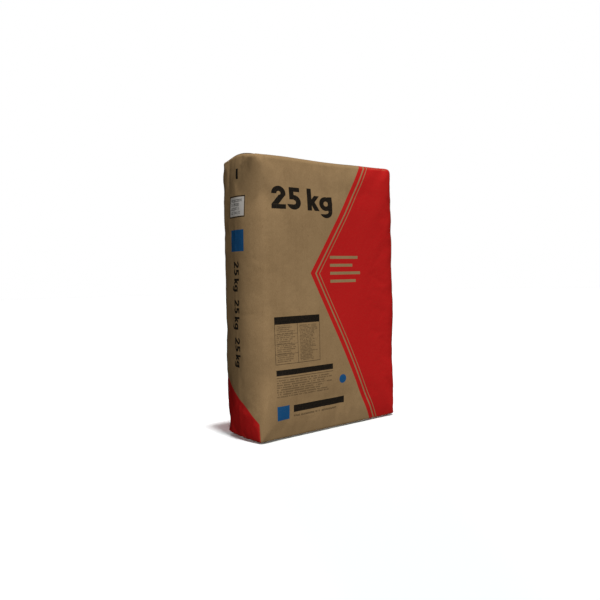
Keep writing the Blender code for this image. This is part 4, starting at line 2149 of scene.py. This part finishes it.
@dataclass(frozen=True)
class SoftSurround:
    """A white surround whose light comes mostly from one side.

    Attributes:
        brightest: The direction of the most light.
        fade_to: Cosine of the angle to that direction at which the light is least.
        least: Its light on the dark side.
        most: Its light on the bright side.
    """

    brightest: tuple[float, float, float] = (-0.82, -0.70, -0.15)
    fade_to: float = -0.2
    least: float = 0.0
    most: float = 0.18

    def set_up(self) -> None:
        """Makes the surround, which is fully white behind the sack."""
        world = bpy.data.worlds.new("white_surround")
        bpy.context.scene.world = world
        world.use_nodes = True
        sketch = Sketch(world.node_tree)
        generated = sketch.node("ShaderNodeTexCoord").outputs["Generated"]
        towards = {0: generated, 1: Vector(self.brightest).normalized()}
        facing = sketch.node("ShaderNodeVectorMath", towards, operation="DOT_PRODUCT").outputs["Value"]
        glow = sketch.level(facing, self.fade_to, 1.0, self.least, self.most)
        seen = sketch.node("ShaderNodeLightPath").outputs["Is Camera Ray"]
        light = {"Color": (1.0, 1.0, 1.0, 1.0), "Strength": sketch.math("MAXIMUM", glow, seen)}
        sketch.feed(world.node_tree.nodes["Background"], light)


@dataclass
class Studio:
    """A round pale floor, a white surround and soft lights.

    Attributes:
        floor_radius: Radius of the floor, in metres.
        floor_sides: Sides of its round edge.
        floor_level: Its height, just under the sack's foot.
        floor_colour: Its colour, as linear red, green and blue.
        lights: The soft lights.
        surround: The white surround.
    """

    floor_radius: float = 9.0
    floor_sides: int = 96
    floor_level: float = -0.0003
    floor_colour: tuple[float, float, float] = (0.94, 0.98, 0.98)
    lights: tuple[SoftLight, ...] = (
        SoftLight("front_light", -20.0, 8.5, 30.0, 1.79),
        SoftLight("top_light", 5.0, 81.5, 4.5, 2.9),
        SoftLight("back_fill", 152.0, 10.0, 20.0, 3.2),
    )
    surround: SoftSurround = SoftSurround()

    def set_up(self) -> None:
        """Builds the floor, the surround and the lights."""
        self._floor()
        self.surround.set_up()
        for light in self.lights:
            light.set_up()
        bpy.context.scene.view_settings.view_transform = "Standard"

    def _floor(self) -> None:
        """Lays the floor just under the sack."""
        angles = np.linspace(0.0, 2 * math.pi, self.floor_sides, endpoint=False)
        across, deep = self.floor_radius * np.cos(angles), self.floor_radius * np.sin(angles)
        rim = np.stack([across, deep, np.full_like(angles, self.floor_level)], axis=-1)
        floor = placed("studio_floor", mesh_from("studio_floor", rim, [tuple(range(len(rim)))]))
        material = bpy.data.materials.new("pale_floor")
        material.use_nodes = True
        surface = {"Base Color": (*self.floor_colour, 1.0), "Roughness": 1.0, "Specular IOR Level": 0.0}
        Sketch(material.node_tree).feed(material.node_tree.nodes["Principled BSDF"], surface)
        floor.data.materials.append(material)
        floor.visible_diffuse = False
        floor.visible_glossy = False
        floor.visible_shadow = False


def main() -> None:
    """Builds the pieces in order, then the studio."""
    logging.basicConfig(level=logging.INFO, format="%(name)s: %(message)s")
    PhotoCamera().set_up()
    sack = FilledSack()
    paper = sack.build()
    skin = SackSkin(paper)
    patch_paper = KraftFinish("cover_patch_paper", (0.325, 0.218, 0.112))
    CoverPatch("top_cover_paper", "top_end_patch", patch_paper, skin).build()
    CoverPatch("foot_cover_paper", "bottom_end_patch", patch_paper).build()
    ValveSleeve(skin).build()
    SeamBead(sack.seam_line).build()
    Studio().set_up()


if __name__ == "__main__":
    main()
